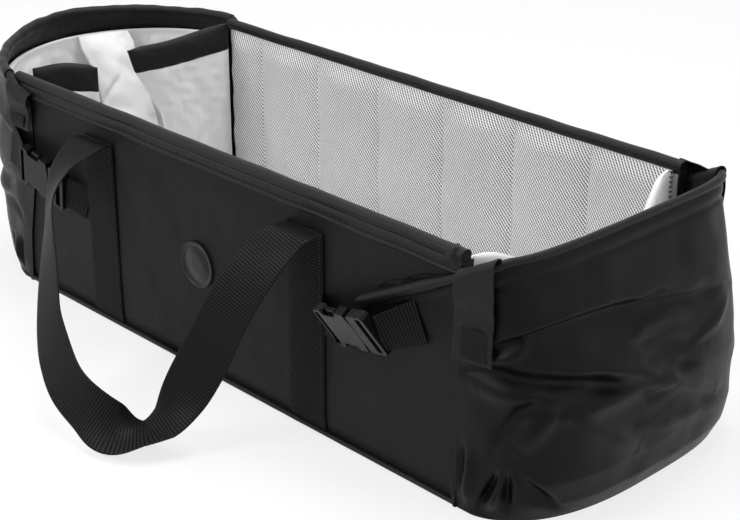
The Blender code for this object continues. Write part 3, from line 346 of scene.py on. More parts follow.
def split(tree, vector):
    return add_node(tree, "SeparateXYZ", {0: vector}).outputs[:2]


def humps(tree, value):
    """Round humps of height 1, one for each whole step of the value."""
    return calculate(tree, "ABSOLUTE", calculate(tree, "SINE", calculate(tree, "MULTIPLY", value, math.pi)))


def group_plain_weave():
    """Plain weave: half-round threads one pitch wide, warp and weft on top in turn like a chessboard."""
    group, start, end = start_group("plain_weave", ["Height"], Pitch=0.0005)
    do = partial(calculate, group)
    u, v = [do("DIVIDE", way, start["Pitch"]) for way in split(group, start["Vector"])]
    board = do("FLOORED_MODULO", do("ADD", do("FLOOR", u), do("FLOOR", v)), 2.0)
    over = do("MULTIPLY", humps(group, u), board)
    under = do("MULTIPLY", humps(group, v), do("SUBTRACT", 1.0, board))
    fill(end, {"Height": do("ADD", over, under)})
    return group


def group_cross_ribs():
    """Webbing: round ribs right across the strap, with the lengthwise threads as small bumps on them."""
    group, start, end = start_group("cross_ribs", ["Height", "Groove"], Rib=0.0016, Thread=0.0013)
    do = partial(calculate, group)
    u, v = split(group, start["Vector"])
    rib = humps(group, do("DIVIDE", u, start["Rib"]))
    thread = humps(group, do("DIVIDE", v, start["Thread"]))
    height = do("MULTIPLY", do("POWER", rib, 0.6), do("ADD", do("MULTIPLY", thread, 0.25), 0.75))
    fill(end, {"Height": height, "Groove": do("SUBTRACT", 1.0, height)})
    return group


def group_spacer_mesh():
    """Knitted spacer mesh: slanted slits in rows that are shifted by half a pitch, with yarn between them."""
    group, start, end = start_group("spacer_mesh", ["Height", "Hole"], Pitch=0.0039)
    do = partial(calculate, group)
    u, v = [do("DIVIDE", way, start["Pitch"]) for way in split(group, start["Vector"])]
    v = do("DIVIDE", v, 0.62)
    odd = do("MULTIPLY", do("FLOORED_MODULO", do("FLOOR", v), 2.0), 0.5)
    x = do("SUBTRACT", do("FRACT", do("ADD", u, odd)), 0.5)
    y = do("SUBTRACT", do("FRACT", v), 0.5)
    slant = do("ADD", x, do("MULTIPLY", y, 0.45))
    wide = do("MULTIPLY", do("MULTIPLY", slant, slant), 2.6)
    tall = do("MULTIPLY", do("MULTIPLY", y, y), 0.85)
    ramp = {"Value": do("SQRT", do("ADD", wide, tall)), "From Min": 0.52, "From Max": 0.32}
    hole = add_node(group, "MapRange", ramp, interpolation_type="SMOOTHSTEP").outputs[0]
    fill(end, {"Hole": hole, "Height": do("SUBTRACT", 1.0, hole)})
    return group


def group_soft_wear():
    """Uneven dye and dust: two sizes of noise, as a mask about 0.5 and a fine grain."""
    group, start, end = start_group("soft_wear", ["Cloud", "Grain"], Scale=9.0)
    for label, factor, detail in (("Cloud", 1.0, 4.0), ("Grain", 60.0, 2.0)):
        scale = calculate(group, "MULTIPLY", start["Scale"], factor)
        noise = add_node(group, "TexNoise", {"Vector": start["Vector"], "Scale": scale, "Detail": detail})
        fill(end, {label: noise.outputs[0]})
    return group


GROUPS = {"weave": group_plain_weave(), "ribs": group_cross_ribs(), "mesh": group_spacer_mesh(),
          "wear": group_soft_wear()}


def place_group(tree, name, vector, **values):
    return add_node(tree, "Group", {"Vector": vector, **values}, node_tree=GROUPS[name]).outputs


def start_material(name, roughness, level, sheen=0.0, sheen_roughness=0.4):
    material = bpy.data.materials.new(name)
    material.use_nodes = True
    tree = material.node_tree
    shader = fill(tree.nodes["Principled BSDF"], {"Roughness": roughness, "Specular IOR Level": level,
                                                  "Sheen Weight": sheen, "Sheen Roughness": sheen_roughness})
    return material, tree, shader, add_node(tree, "TexCoord").outputs


def blend_colours(tree, share, low, high):
    """Blend two colours, each three numbers or a socket."""
    low, high = [(*colour, 1) if isinstance(colour, tuple) else colour for colour in (low, high)]
    return add_node(tree, "Mix", {"Factor": share, "A": low, "B": high}, data_type="RGBA").outputs["Result"]


def remap(tree, value, to_low, to_high, low=0.3, high=0.7):
    """Stretch a value's range to another; the first is the usual range of noise unless given."""
    ends = {"Value": value, "From Min": low, "From Max": high, "To Min": to_low, "To Max": to_high}
    return add_node(tree, "MapRange", ends).outputs[0]


def add_bump(shader, height, distance, strength=1.0, before=None):
    """Bump the shader by a height, on top of an earlier bump if there is one."""
    inputs = {"Strength": strength, "Distance": distance, "Height": height}
    if before is not None:
        inputs["Normal"] = before
    normal = add_node(shader.id_data, "Bump", inputs).outputs[0]
    fill(shader, {"Normal": normal})
    return normal


def cloth_finish(name, colour, worn, roughness, pitch, depth, sheen, level, crinkle=0.0004, crinkle_scale=45.0):
    """Woven cloth: plain weave, small crinkles, uneven dye and a soft sheen."""
    material, tree, shader, where = start_material(name, roughness, level, sheen, 0.45)
    weave = place_group(tree, "weave", where["UV"], Pitch=pitch)
    wear = place_group(tree, "wear", where["Object"], Scale=8.0)
    fill(shader, {"Base Color": blend_colours(tree, remap(tree, wear["Cloud"], 0.0, 1.0), colour, worn),
                  "Roughness": remap(tree, wear["Grain"], roughness - 0.05, roughness + 0.07)})
    small = add_node(tree, "TexNoise", {"Vector": where["Object"], "Scale": crinkle_scale, "Detail": 3.0})
    first = add_bump(shader, small.outputs[0], crinkle)
    add_bump(shader, weave["Height"], depth, 0.6, first)
    return material


def webbing_finish(name, colour, groove, roughness, level):
    """Ribbed webbing with painted shade in the grooves between its ribs: a far darker colour there and no shine."""
    material, tree, shader, where = start_material(name, roughness, level)
    ribs = place_group(tree, "ribs", where["UV"], Rib=RIB_PITCH)
    wear = place_group(tree, "wear", where["Object"], Scale=12.0)
    # Painted shade in the grooves: the groove mask takes away the shine and blends in the far darker groove colour.
    fill(shader, {"Specular IOR Level": remap(tree, ribs["Groove"], level, 0.0, 0.0, 1.0),
                  "Base Color": blend_colours(tree, ribs["Groove"], colour, groove),
                  "Roughness": remap(tree, wear["Grain"], roughness - 0.06, roughness + 0.08)})
    add_bump(shader, ribs["Height"], 0.0004, 0.8)
    return material


def mesh_finish(name, yarn, worn, hole):
    material, tree, shader, where = start_material(name, 0.75, 0.3, 0.3, 0.5)
    holes = place_group(tree, "mesh", where["UV"])
    wear = place_group(tree, "wear", where["Object"], Scale=10.0)
    yarn = blend_colours(tree, remap(tree, wear["Cloud"], 0.0, 1.0), yarn, worn)
    # The holes get a dark grey: painted shade in the open knit.
    fill(shader, {"Base Color": blend_colours(tree, holes["Hole"], yarn, hole)})
    add_bump(shader, holes["Height"], 0.0009, 0.9)
    return material


def moulded_finish(name, colour, roughness, grain=0.00006, level=0.3):
    """Moulded plastic or rubber: a fine grain and slightly uneven gloss."""
    material, tree, shader, where = start_material(name, roughness, level)
    wear = place_group(tree, "wear", where["Object"], Scale=30.0)
    fill(shader, {"Base Color": blend_colours(tree, wear["Cloud"], colour, tuple(c * 1.25 for c in colour)),
                  "Roughness": remap(tree, wear["Cloud"], roughness - 0.05, roughness + 0.08)})
    add_bump(shader, wear["Grain"], grain, 0.8)
    return material


def grey(level, blue):
    return level, level, blue


# Cloths: name, colour, worn colour, roughness, pitch and depth of the weave, sheen, shine, crinkles' depth and scale.
NYLON = cloth_finish("side_nylon", grey(0.0075, 0.0085), grey(0.0105, 0.0115), 0.46, 0.0005, 0.00008, 0.01, 0.09)
# The ends' nylon: the sides' black nylon made darker as painted shade on the end walls, with a smoother satin finish.
SHADED_END_NYLON = cloth_finish("shaded_end_nylon", grey(0.0034, 0.0038), grey(0.0048, 0.0053), 0.33, 0.0005, 0.00006, 0.0, 0.11)
TAB_CLOTH = cloth_finish("tab_cloth", grey(0.0110, 0.0118), grey(0.0165, 0.0175), 0.50, 0.0006, 0.00010, 0.01, 0.12)
BINDING = cloth_finish("rim_binding_nylon", grey(0.0062, 0.0068), grey(0.0098, 0.0105), 0.36, 0.0006, 0.00010, 0.01,
                       0.17)
COTTON = cloth_finish("white_lining_cotton", grey(0.80, 0.80), grey(0.84, 0.84), 0.80, 0.0006, 0.00008, 0.2, 0.3,
                      0.0006, 30.0)
SEAM = cloth_finish("seam_thread", (0.62, 0.61, 0.615), (0.72, 0.71, 0.715), 0.70, 0.0004, 0.00005, 0.1, 0.3)
PATCH = cloth_finish("hook_patch", grey(0.0080, 0.0086), grey(0.0160, 0.0166), 0.62, 0.0009, 0.0002, 0.02, 0.08,
                     0.001, 260.0)
# Webbings: name, colour, groove's colour (painted shade, far darker than the ribs' colour), roughness and shine.
STRAP = webbing_finish("handle_webbing", grey(0.0135, 0.0142), grey(0.0004, 0.0005), 0.46, 0.11)
SEWN_STRAP = webbing_finish("sewn_webbing", grey(0.0115, 0.0121), grey(0.0010, 0.0012), 0.55, 0.10)
# Spacer mesh: yarn colour, worn yarn colour, and a dark grey painted into the holes as shade.
SPACER = mesh_finish("pale_spacer_mesh", (0.93, 0.915, 0.922), (0.87, 0.855, 0.862), (0.115, 0.105, 0.112))
# Moulded: name, colour, roughness, depth of the grain and shine.
PLASTIC = moulded_finish("buckle_plastic", grey(0.0055, 0.006), 0.24, level=0.14)
RUBBER = moulded_finish("badge_rubber", grey(0.008, 0.0086), 0.40)
BOARD = moulded_finish("stiff_board", (0.56, 0.55, 0.535), 0.80, 0.0002, 0.2)
THREAD = moulded_finish("dark_thread", grey(0.016, 0.017), 0.5)


# The two cloth ends: their outline at each height


class ClothEnd:
    """One cloth end: a rounded oblong in plan that changes with height, and wings over the side panels.

    Past is the distance beyond the panels' edge, negative on the wings; levels are shares of the rim's height.
    """

    def __init__(self, name, **measures):
        self.name, self.body = name, name + "_end"
        self.__dict__.update(measures)

    def outline(self, angle, height, out):
        """Past = reach times cosine to a power, across = width times sine to the same power."""
        level = height / self.rim
        reach = self.reach * np.interp(level, self.levels, self.reaches) - CLOTH + out
        width = WRAP_FACE - CLOTH * np.interp(level, self.levels[:2], [1.0, 0.0]) + out
        fullness = np.where(angle > 0.0, self.far_fullness, 1.0)
        power = 2.0 / (np.interp(level, self.levels, self.roundness) * fullness)
        return reach * np.abs(np.cos(angle)) ** power, width * signed_power(np.sin(angle), power)

    def spread(self, angle, past, height, out):
        """Past and across of the whole cloth: flat on the panel along a wing, on the outline elsewhere."""
        curve, across = self.outline(angle, height, out)
        wing = past < 0.0
        return np.where(wing, past, curve), np.where(wing, np.sign(across) * (WRAP_FACE + out), across)

    def top(self, past):
        """Height of the rim tube's middle, from the wing's tip up to the rim."""
        heights = [self.wrap_top, self.corner, self.rim]
        return np.interp(past, [-self.wrap, self.rise_end, self.reach], heights) - TUBE_RADIUS

    def bottom(self, past):
        return np.interp(past, [-self.wrap, -0.010, -0.005], [self.wrap_bottom, self.heel, 0.002])

    def world(self, past, across, height):
        return xyz(self.panel_x + self.sign * past, across, height)


HEAD = ClothEnd("head", sign=-1, panel_x=HEAD_X, reach=0.140, rim=0.255, corner=0.245, wrap=0.030, wrap_top=0.2185,
                wrap_bottom=0.145, heel=0.060, rise_end=0.004, levels=[0.0, 0.08, 0.22, 0.60, 0.85, 1.0],
                reaches=[0.82, 0.93, 0.985, 1.0, 0.975, 0.93], roundness=[1.9, 2.0, 2.1, 2.1, 1.95, 1.6],
                far_fullness=1.0)
FOOT = ClothEnd("foot", sign=1, panel_x=FOOT_X, reach=0.096, rim=0.247, corner=0.247, wrap=0.121, wrap_top=0.1635,
                wrap_bottom=0.147, heel=0.075, rise_end=0.040, levels=[0.0, 0.08, 0.18, 0.40, 0.57, 0.77, 1.0],
                reaches=[0.88, 0.97, 1.0, 0.96, 0.88, 0.73, 0.53], roundness=[2.4, 2.6, 3.0, 3.2, 3.4, 3.6, 3.8],
                far_fullness=1.5)


def end_columns(end, wrap_steps, arc_steps):
    """Columns from the near wing's tip round to the far one: angle, and distance past the panel."""
    wrap = np.linspace(-end.wrap, -0.0002, wrap_steps)
    angle = np.pad(QUARTER * np.linspace(-1.0, 1.0, arc_steps), wrap_steps, mode="edge")
    return angle, np.concatenate([wrap, np.zeros(arc_steps), wrap[::-1]])


def end_surface(end, angle, past, low, high, rows, out):
    """A grid round an end from a low to a high line, at a distance out from the cloth's inner face."""
    height = low + (high - low) * np.linspace(0, 1, rows)[:, None]
    return end.world(*end.spread(angle, past, height, out), height)


# Folds of each end, in millimetres. Each row: height above the line and below it (dips are negative), the reach
# on each side, then points as distance round from the near corner and height.
FOOT_FOLDS = [
    (4, -3, 22, 14, [(30, 170), (77, 184), (120, 188), (168, 186), (206, 180), (262, 166), (330, 158)]),
    (3, 3, 4.5, 7, [(36, 156), (58, 166), (68, 172), (80, 181)]),
    (-4.5, -4.5, 8, 6, [(-3, 137), (24, 143), (50, 145), (85, 140), (125, 131)]),
    (2.5, 2.5, 8, 10, [(20, 128), (55, 129), (95, 123), (130, 114)]),
    (4.5, 4.5, 10, 7, [(95, 149), (146, 138), (201, 116), (235, 97), (305, 64)]),
    (-4, -4, 7, 10, [(112, 135), (150, 122), (196, 98), (230, 78)]),
    (3.5, 3.5, 9, 9, [(90, 107), (120, 107), (160, 107), (210, 104), (240, 112)]),
    (-4.2, -4.2, 8, 10, [(38, 74), (48, 94), (63, 112), (82, 129)]),
    (3, 3, 12, 10, [(62, 78), (74, 98), (92, 113)]),
    (3.5, 3.5, 10, 12, [(105, 106), (142, 81), (185, 50)]),
    (2.4, 2.4, 5, 6, [(196, 150), (206, 159), (226, 158), (268, 148)]),
    (-3.2, -3.2, 6, 8, [(192, 146), (235, 131), (280, 117)]),
    (2.6, 2.6, 6, 6, [(262, 121), (283, 127), (300, 131), (326, 146)]),
    (-2.6, -2.6, 6, 7, [(274, 166), (323, 160)]),
    (-3.4, -3.4, 7, 7, [(200, 128), (235, 112), (266, 104)]),
    (-3, -3, 4, 5, [(4, 74), (5, 46), (3, 14)]),
    (2.8, 2.8, 6, 6, [(15, 60), (17, 36), (18, 10)]),
    (-4.5, -4.5, 5, 3.5, [(42, 52), (36, 26), (32, 8)]),
    (2.6, 2.6, 5, 6, [(48, 48), (45, 30), (43, 10)]),
    (-4.2, -4.2, 4, 4, [(53, 54), (53, 36), (58, 12)]),
    (-3.8, -3.8, 5, 5, [(64, 52), (80, 32), (98, 12)]),
    (2.2, 2.2, 8, 8, [(187, 70), (249, 56), (320, 50)]),
    (3.5, -3, 20, 14, [(356, 150), (392, 170), (430, 176), (462, 166)]),
    (-4, -4, 8, 8, [(350, 110), (392, 126), (430, 132), (470, 120)]),
    (3.2, 3.2, 10, 9, [(340, 84), (386, 100), (440, 106)]),
    (-4.5, -4.5, 5, 4, [(452, 60), (456, 34), (452, 10)]),
    (-3.8, -3.8, 4, 5, [(424, 52), (430, 30), (424, 10)]),
    (2.6, 2.6, 6, 6, [(438, 50), (442, 30), (440, 10)]),
    (-3.6, -3.6, 5, 5, [(404, 46), (396, 28), (386, 12)]),
]
HEAD_FOLDS = [
    (3, -2.6, 18, 12, [(12, 176), (60, 186), (110, 180), (160, 168)]),
    (-3.4, -3.4, 7, 8, [(10, 120), (50, 112), (95, 118), (140, 106)]),
    (2.6, 2.6, 9, 9, [(30, 98), (80, 96), (130, 86)]),
    (-3.4, -3.4, 6, 7, [(4, 74), (30, 86), (66, 82)]),
    (-4, -4, 4, 5, [(14, 50), (20, 30), (16, 10)]),
    (-3.6, -3.6, 4, 4, [(40, 46), (38, 26), (44, 10)]),
    (2.4, 2.4, 6, 6, [(28, 46), (30, 26), (30, 10)]),
    (2.8, 2.8, 12, 12, [(150, 140), (210, 128), (270, 134)]),
    (-3, -3, 9, 9, [(160, 70), (226, 82), (290, 72)]),
    (3, -2.6, 18, 12, [(300, 166), (352, 180), (404, 186), (450, 178)]),
    (-3.4, -3.4, 7, 8, [(320, 108), (366, 118), (412, 112), (452, 120)]),
    (2.6, 2.6, 9, 9, [(330, 88), (382, 96), (432, 98)]),
    (-4, -4, 4, 5, [(444, 50), (440, 30), (446, 10)]),
    (-3.6, -3.6, 4, 4, [(420, 46), (424, 26), (416, 10)]),
]


def fold_relief(u, v, folds):
    """Sum of the folds: each is a hill or dip on either side of its line, fading away from it and at its ends."""
    total = np.zeros(np.broadcast(u, v).shape)
    for *sizes, points in folds:
        above, below, reach_above, reach_below = np.array(sizes) * MM
        line = curve_through(np.array(points) * MM, 20)
        far = lengths(line) / lengths(line)[-1]
        gap = np.full(total.shape, 9.0)
        at, side = np.zeros((2, *total.shape))
        for (ax, az), (bx, bz), fa, fb in zip(line[:-1], line[1:], far[:-1], far[1:]):
            dx, dz = bx - ax, bz - az
            t = np.clip(((u - ax) * dx + (v - az) * dz) / (dx * dx + dz * dz), 0, 1)
            x, z = u - ax - t * dx, v - az - t * dz
            distance = np.hypot(x, z)
            nearer = distance < gap
            gap = np.where(nearer, distance, gap)
            at = np.where(nearer, fa + (fb - fa) * t, at)
            side = np.where(nearer, np.sign(dx * z - dz * x), side)
        fade = np.sin(math.pi * np.clip(at, 0.03, 0.97)) ** 0.6
        up = 0.5 * (1 + np.tanh(gap * side / 0.0018))
        high = above * np.exp(-(gap / (reach_above * (0.5 + 0.5 * fade))) ** 2)
        low = below * np.exp(-(gap / (reach_below * (0.5 + 0.5 * fade))) ** 2)
        total = total + fade * (up * high + (1 - up) * low)
    return total


def make_end_wall(end):
    """Bare surface moved along its normals by the folds, the seam groove below the rim and soft ripples."""
    foot = end is FOOT
    wrap_steps, arc_steps, rows = (44, 230, 110) if foot else (14, 250, 110)
    angle, past = end_columns(end, wrap_steps, arc_steps)
    nominal = np.where(past < 0.0, past, end.outline(angle, end.rim, CLOTH)[0])
    low, high = end.bottom(nominal), end.top(nominal) - TUBE_RADIUS + 0.0015
    grid = end_surface(end, angle, past, low, high, rows, CLOTH)
    along = lengths(end_surface(end, angle, past, 0.4 * end.rim, 0.4 * end.rim, 1, CLOTH)[0])
    uv = xyz(along - along[wrap_steps], grid[..., 2])  # U starts at the near panel corner
    u, v = uv[..., 0], uv[..., 1]
    normal = unit(np.cross(np.gradient(grid, axis=1), np.gradient(grid, axis=0)))
    out_way = xyz(grid[..., 0] - end.panel_x + end.sign * 0.2, grid[..., 1], 0.0)
    normal *= np.sign(np.sum(normal * out_way, axis=-1, keepdims=True))
    under_rim = v[-1] - v
    arc = ease(-0.02, 0.03, u) * ease(-0.02, 0.03, u[:, -1 - wrap_steps, None] - u)
    strength = 1.8 - 0.9 * ease(0.20, 0.30, u) if foot else 1.3
    relief = strength * fold_relief(u, v, FOOT_FOLDS if foot else HEAD_FOLDS)
    relief = relief + (0.0014 * ripples(u, v, 0.11, 3) + 0.0007 * ripples(u, v, 0.045, 4)) * arc
    relief = relief * ease(0.0, 0.025, v - v[0]) * ease(0.004, 0.030, under_rim)
    if foot:
        relief = relief - 0.0016 * bump(under_rim, 0.0145, 0.0018) + 0.0012 * bump(under_rim, 0.0070, 0.004)
    relief = np.maximum(relief, np.where(arc < 0.5, -0.0002, -0.012))
    outer = grid + normal * relief[..., None]
    inner = outer - normal * 0.0016
    keep_off_floor(outer, inner)
    wall = two_faced(end.body + "_cloth", outer, inner, SHADED_END_NYLON, end.body, end.body + "_wall", uv)


def rim_path(end):
    """The middle line of the stuffed hem."""
    angle, past = end_columns(end, 33, 200)
    past, across = end.spread(angle, past, end.rim, TUBE_RADIUS)
    return end.world(past, across, end.top(past))


def make_rim_tube(end):
    """A stuffed hem: a tube round the rim whose girth varies a little."""
    path = rim_path(end)
    far = lengths(path)
    girth = TUBE_RADIUS + 0.0007 + 0.00035 * ripples(far, 0, 0.06, 8)
    ends = np.minimum(far, far[-1] - far)
    girth = girth * (0.55 + 0.45 * ease(0.0, 0.008, ends))
    if end is FOOT:
        girth = girth * (1.26 - 0.26 * ease(0.090, 0.125, ends))
    carried(end.name + "_rim_hem", tube_rings(path, girth, 16), BINDING, end.body, end.name + "_rim_tube")


def inner_angles(end, out):
    """Angles for a piece inside the wall, from just clear of the near panel to just clear of the far one."""
    fine = np.linspace(-QUARTER, 0.0, 600)
    first = fine[np.argmax(end.outline(fine, end.rim, out)[0] > 0.005)]
    return np.linspace(first, -first, 150)


def rim_wrap(end, angle, low):
    """The wide band of the head's rim: a half round over the stuffed hem, then down inside with soft wrinkles."""
    past, across = end.outline(angle, end.rim, TUBE_RADIUS)
    top = end.top(past)
    plan = end.world(past, across, top)[:, :2]
    run = unit(np.gradient(plan, axis=0))
    away = xyz(run[:, 1], -run[:, 0])
    away *= np.sign(np.sum(away * (plan - [end.panel_x - end.sign * 0.1, 0.0]), axis=1, keepdims=True))
    along = lengths(plan)
    front, back = [], []
    for turn in np.linspace(-0.30 * math.pi, math.pi, 22):
        crease = 0.0007 * ripples(along, turn * 0.004, 0.030, 23)
        for rows, radius in ((front, TUBE_RADIUS + 0.0022 + crease), (back, np.full_like(along, TUBE_RADIUS + 0.0009))):
            spot = plan + away * (radius * math.cos(turn))[:, None]
            rows.append(np.column_stack([spot, top + radius * math.sin(turn)]))
    starts = front[-1], back[-1]
    for share in np.linspace(0.04, 1.0, 26):
        height = top + (low - top) * share
        blend = ease(0.0, 0.010, top - height)[:, None]
        wave = 0.0012 * np.abs(ripples(along, height, 0.035, 25))[:, None] * blend
        for rows, start, offset, lift in ((front, starts[0], -0.0033, wave), (back, starts[1], -0.0020, 0.0)):
            spot = end.world(*end.outline(angle, height, offset), height)[:, :2]
            rows.append(np.column_stack([start[:, :2] * (1 - blend) + spot * blend - away * lift, height]))
    return np.array(front), np.array(back)


def make_end_inside(end):
    """The dark band under the rim and the padded white lining below it, both standing just inside the wall."""
    angle = inner_angles(end, -0.0029)
    low = end.rim - BAND_DROP
    if end is HEAD:
        front, back = rim_wrap(end, angle, low)
    else:
        top = end.rim - 2 * TUBE_RADIUS
        high = np.minimum(top, end.top(end.outline(angle, top, -0.0009)[0]) - TUBE_RADIUS - GAP)
        back, front = [end_surface(end, angle, 0.0, low, high, 14, out) for out in (-0.0009, -0.0029)]
        wave = 0.0007 * ripples(lengths(front[7]), front[..., 2], 0.03, 21 + end.sign)
        normal = unit(xyz(front[..., 0] - end.panel_x, front[..., 1], 0.0))
        front = front - normal * (0.0004 + np.abs(wave))[..., None]
    band = two_faced(end.name + "_rim_band", front, back, BINDING, end.body, end.name + "_rim_facing")
    out, thick = -0.0065, 0.006
    angle = inner_angles(end, out - thick)
    low, high = 0.0083, end.rim - BAND_DROP - GAP
    outer, inner = [end_surface(end, angle, 0.0, low, high, 60, place) for place in (out, out - thick)]
    u, v = lengths(inner[30]), inner[..., 2]
    normal = unit(xyz(inner[..., 0] - end.panel_x + end.sign * 0.05, inner[..., 1], 0.0))
    edge = ease(0, 0.02, high - v) * ease(0, 0.02, v - low)
    puff = 0.0028 * ripples(u, v, 0.07, 31 + end.sign) + 0.0015 * ripples(u, v, 0.028, 33 + end.sign)
    pleat = 0.0016 * np.abs(ripples(u, v * 0.25, 0.016, 35 + end.sign)) * bump(high - v, 0.012, 0.016)
    inner = inner - normal * ((np.abs(puff) + 0.0008 + pleat) * edge)[..., None]
    lining = two_faced(end.name + "_padded_lining", inner, outer, COTTON, end.body, end.body + "_lining")


# Side walls and floor


def side_grid(low, high, columns, bend, rows_below, rows_above):
    """X and Z over the box of a side's piece, with closer rows on one side of a height."""
    z = np.concatenate([np.linspace(low.z, bend, rows_below), np.linspace(bend, high.z, rows_above)[1:]])
    return np.meshgrid(np.linspace(low.x, high.x, columns), z)


def make_outer_panel(side, sign):
    """A stiff cloth panel: flat where webbing is sewn on, very slightly full between, tucked at its foot."""
    low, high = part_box(side + "_outer_panel")
    x, z = side_grid(low, high, 300, 0.03, 16, 60)
    free = (1 - bump(x, HEAD_WEBBING_X, 0.045)) * (1 - bump(x, FOOT_WEBBING_X, 0.045)) * (1 - ease(0.20, 0.24, x))
    free = free * ease(0, 0.04, x - low.x) * ease(0, 0.02, high.z - z) * ease(0, 0.02, z - low.z)
    swell = free * (0.0007 + 0.0009 * ripples(x, z, 0.16, 41 + sign) + 0.0004 * ripples(x, z, 0.05, 43 + sign))
    tuck = 0.0015 * (1 - ease(low.z, low.z + 0.014, z))
    front = xyz(x, sign * (HALF_WIDTH - tuck + swell), z)
    back = xyz(x, sign * (HALF_WIDTH - 0.003), z)
    panel = two_faced(side + "_side_cloth", front, back, NYLON, "shell", side + "_outer_panel", xyz(x, z))


# The bound rim's outline in millimetres, outwards and up from the top of the panel's face: the skin that is seen,
# then the inside.
RIM_SKIN = [(0.4, -22.8), (1.8, -22.2), (2.6, -20.8), (2.2, -19.4), (0.8, -18.4), (1.0, -16.5), (1.6, -14.0),
            (1.4, -11.8), (0.1, -10.4), (-0.4, -9.5), (0.4, -8.6), (1.6, -7.0), (1.8, -4.8), (1.0, -2.6),
            (-0.8, -0.9), (-3.4, 0.0), (-6.2, 0.1), (-8.6, -1.0), (-10.1, -3.0), (-10.6, -5.2), (-10.2, -7.6),
            (-9.6, -9.6)]
RIM_INSIDE = [(-6.6, -9.9), (-6.2, -13.4), (-3.0, -13.7), (-2.8, -22.5)]


def make_rim_binding(side, sign):
    """A bound rim: stuffed roll on top, a sewn groove, a flat band and a raised seam with small puckers."""
    low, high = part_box(side + "_rim_binding")
    out, up = np.array(RIM_SKIN + RIM_INSIDE).T * MM
    skin = np.arange(len(out)) < len(RIM_SKIN)
    x = np.linspace(low.x, high.x, 420)[:, None]
    pucker = 0.00045 * np.sin(2 * math.pi * x / 0.0105 + 2.2 * np.sin(x * 31)) * bump(up, -0.0165, 0.0035)
    pucker = pucker * (0.35 + 0.65 * ease(-0.12, -0.28, x))
    roll = 0.00035 * ripples(x, up * 0.3, 0.05, 51 + sign) * (out > -0.004)
    away = out + HALF_WIDTH + np.where(skin, pucker + roll, 0.0)
    height = up + high.z + np.where(skin, 0.00035 * ripples(x, 0, 0.08, 53 + sign), 0.0)
    carried(side + "_bound_rim", xyz(x, sign * away, height), BINDING, "shell", side + "_rim_binding")


def make_mesh_lining(side, sign):
    """Quilted spacer mesh: upright channels that puff out between their seams and close at the top."""
    low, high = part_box(side + "_mesh_lining")
    outer = max(abs(low.y), abs(high.y))
    pitch = 0.098
    first = HEAD_X + 0.065
    x, z = side_grid(low, high, 420, high.z - 0.02, 60, 16)
    puff = 0.0062 * np.abs(np.sin(math.pi * (x - first) / pitch)) ** 0.55
    rise = (0.75 + 0.25 * ease(low.z, low.z + 0.05, z)) * ease(0.0, 0.022, high.z - z) ** 0.7
    rise = rise * ease(0, 0.008, x - low.x) * ease(0, 0.008, high.x - x)
    face = outer - 0.004 - (puff + 0.0005 * ripples(x, z, 0.07, 61 + sign)) * rise
    place = x + 0.0012 * np.sin(z * 160) * bump(x, low.x, 0.01)
    front, back = xyz(place, sign * face, z), xyz(place, sign * outer, z)
    lining = two_faced(side + "_quilted_mesh", front, back, SPACER, "shell", side + "_mesh_lining", xyz(x, z))
    for number in range(1, 7):
        column = int(np.argmin(np.abs(x[0] - (first + pitch * (number - 1)))))
        if 10 < column < x.shape[1] - 10:
            stitches(f"{side}_mesh_seam_{number}", front[::2, column], [0.0, -sign, 0.0], "shell",
                     length=0.0030, space=0.0016, radius=0.00045, material=SEAM)


def make_base():
    """The floor cover: a flat bottom, a rounded roll round its edge and the sewn top side."""
    angles = np.linspace(-QUARTER, QUARTER, 120)
    rings = []
    for turn in np.linspace(-QUARTER, QUARTER, 13):
        inset = 0.004 * (1 - math.cos(turn)) - 0.0002
        loops = []
        for end in (FOOT, HEAD):
            past, across = end.outline(angles, 0.0, -0.0008 - inset)
            limit = HALF_WIDTH + 0.0006 - inset
            loop = end.world(past, np.clip(across * 1.03, -limit, limit), BASE_TOP / 2 * (1 + math.sin(turn)))
            loops.append(loop[::end.sign])
        rings.append(np.concatenate(loops))
    rings = np.array(rings)
    rings[3:10, :, 2] += 0.0004 * ripples(lengths(rings[6]), 0, 0.05, 71)
    rings[..., 2] = np.maximum(rings[..., 2], 0.0)
    base = carried("base_cloth", rings, NYLON, "shell", "base_cover")


# Webbing


def strap_grid(middle, across, width, thickness, columns, ribs=0.0):
    """Front and back grids of a flat strap about a middle line, its UV and its normals.

    The way of its width is across; its edges are rounded and its cross ribs can be raised.
    """
    run = unit(np.gradient(middle, axis=0))
    across = unit(across - run * np.sum(across * run, axis=1, keepdims=True))
    normal = unit(np.cross(run, across))
    share = np.concatenate([[-1.0, -0.985, -0.95], np.linspace(-0.9, 0.9, columns), [0.95, 0.985, 1.0]])
    half = thickness / 2 * np.minimum(1.0, np.sqrt(np.clip(1 - np.abs(share) ** 24, 0.02, 1)))
    share = share * width / 2
    spread = middle[:, None] + across[:, None] * share[..., None]
    far = lengths(middle)[:, None]
    hollow = ribs * (1 - np.abs(np.sin(math.pi * far / RIB_PITCH)) ** 0.7)
    thick = normal[:, None] * (half - hollow)[..., None]
    return spread + thick, spread - thick, xyz(far, share), normal


def make_sewn_webbing(side, sign, word, centre_x):
    """Webbing sewn up a side in line with the handle, with a row of stitches along each edge."""
    name = f"{side}_{word}"
    low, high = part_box(name + "_webbing")
    z = np.linspace(low.z, high.z, 420)
    tuck = 0.0015 * (1 - np.clip((z - low.z) / 0.014, 0, 1))
    y = sign * (HALF_WIDTH + GAP + WEBBING / 2 - tuck)
    front, back, uv, _ = strap_grid(xyz(centre_x, y, z), np.array([1.0, 0, 0]), WEBBING_WIDTH, WEBBING, 8, ribs=0.0002)
    two_faced(name + "_sewn_strap", front, back, SEWN_STRAP, "shell", name + "_webbing", uv)
    for letter, edge in (("a", -0.0205), ("b", 0.0205)):
        path = xyz(centre_x + edge, y + sign * (WEBBING / 2), z)
        stitches(f"{name}_strap_stitch_{letter}", path, [0.0, sign, 0.0], "shell")


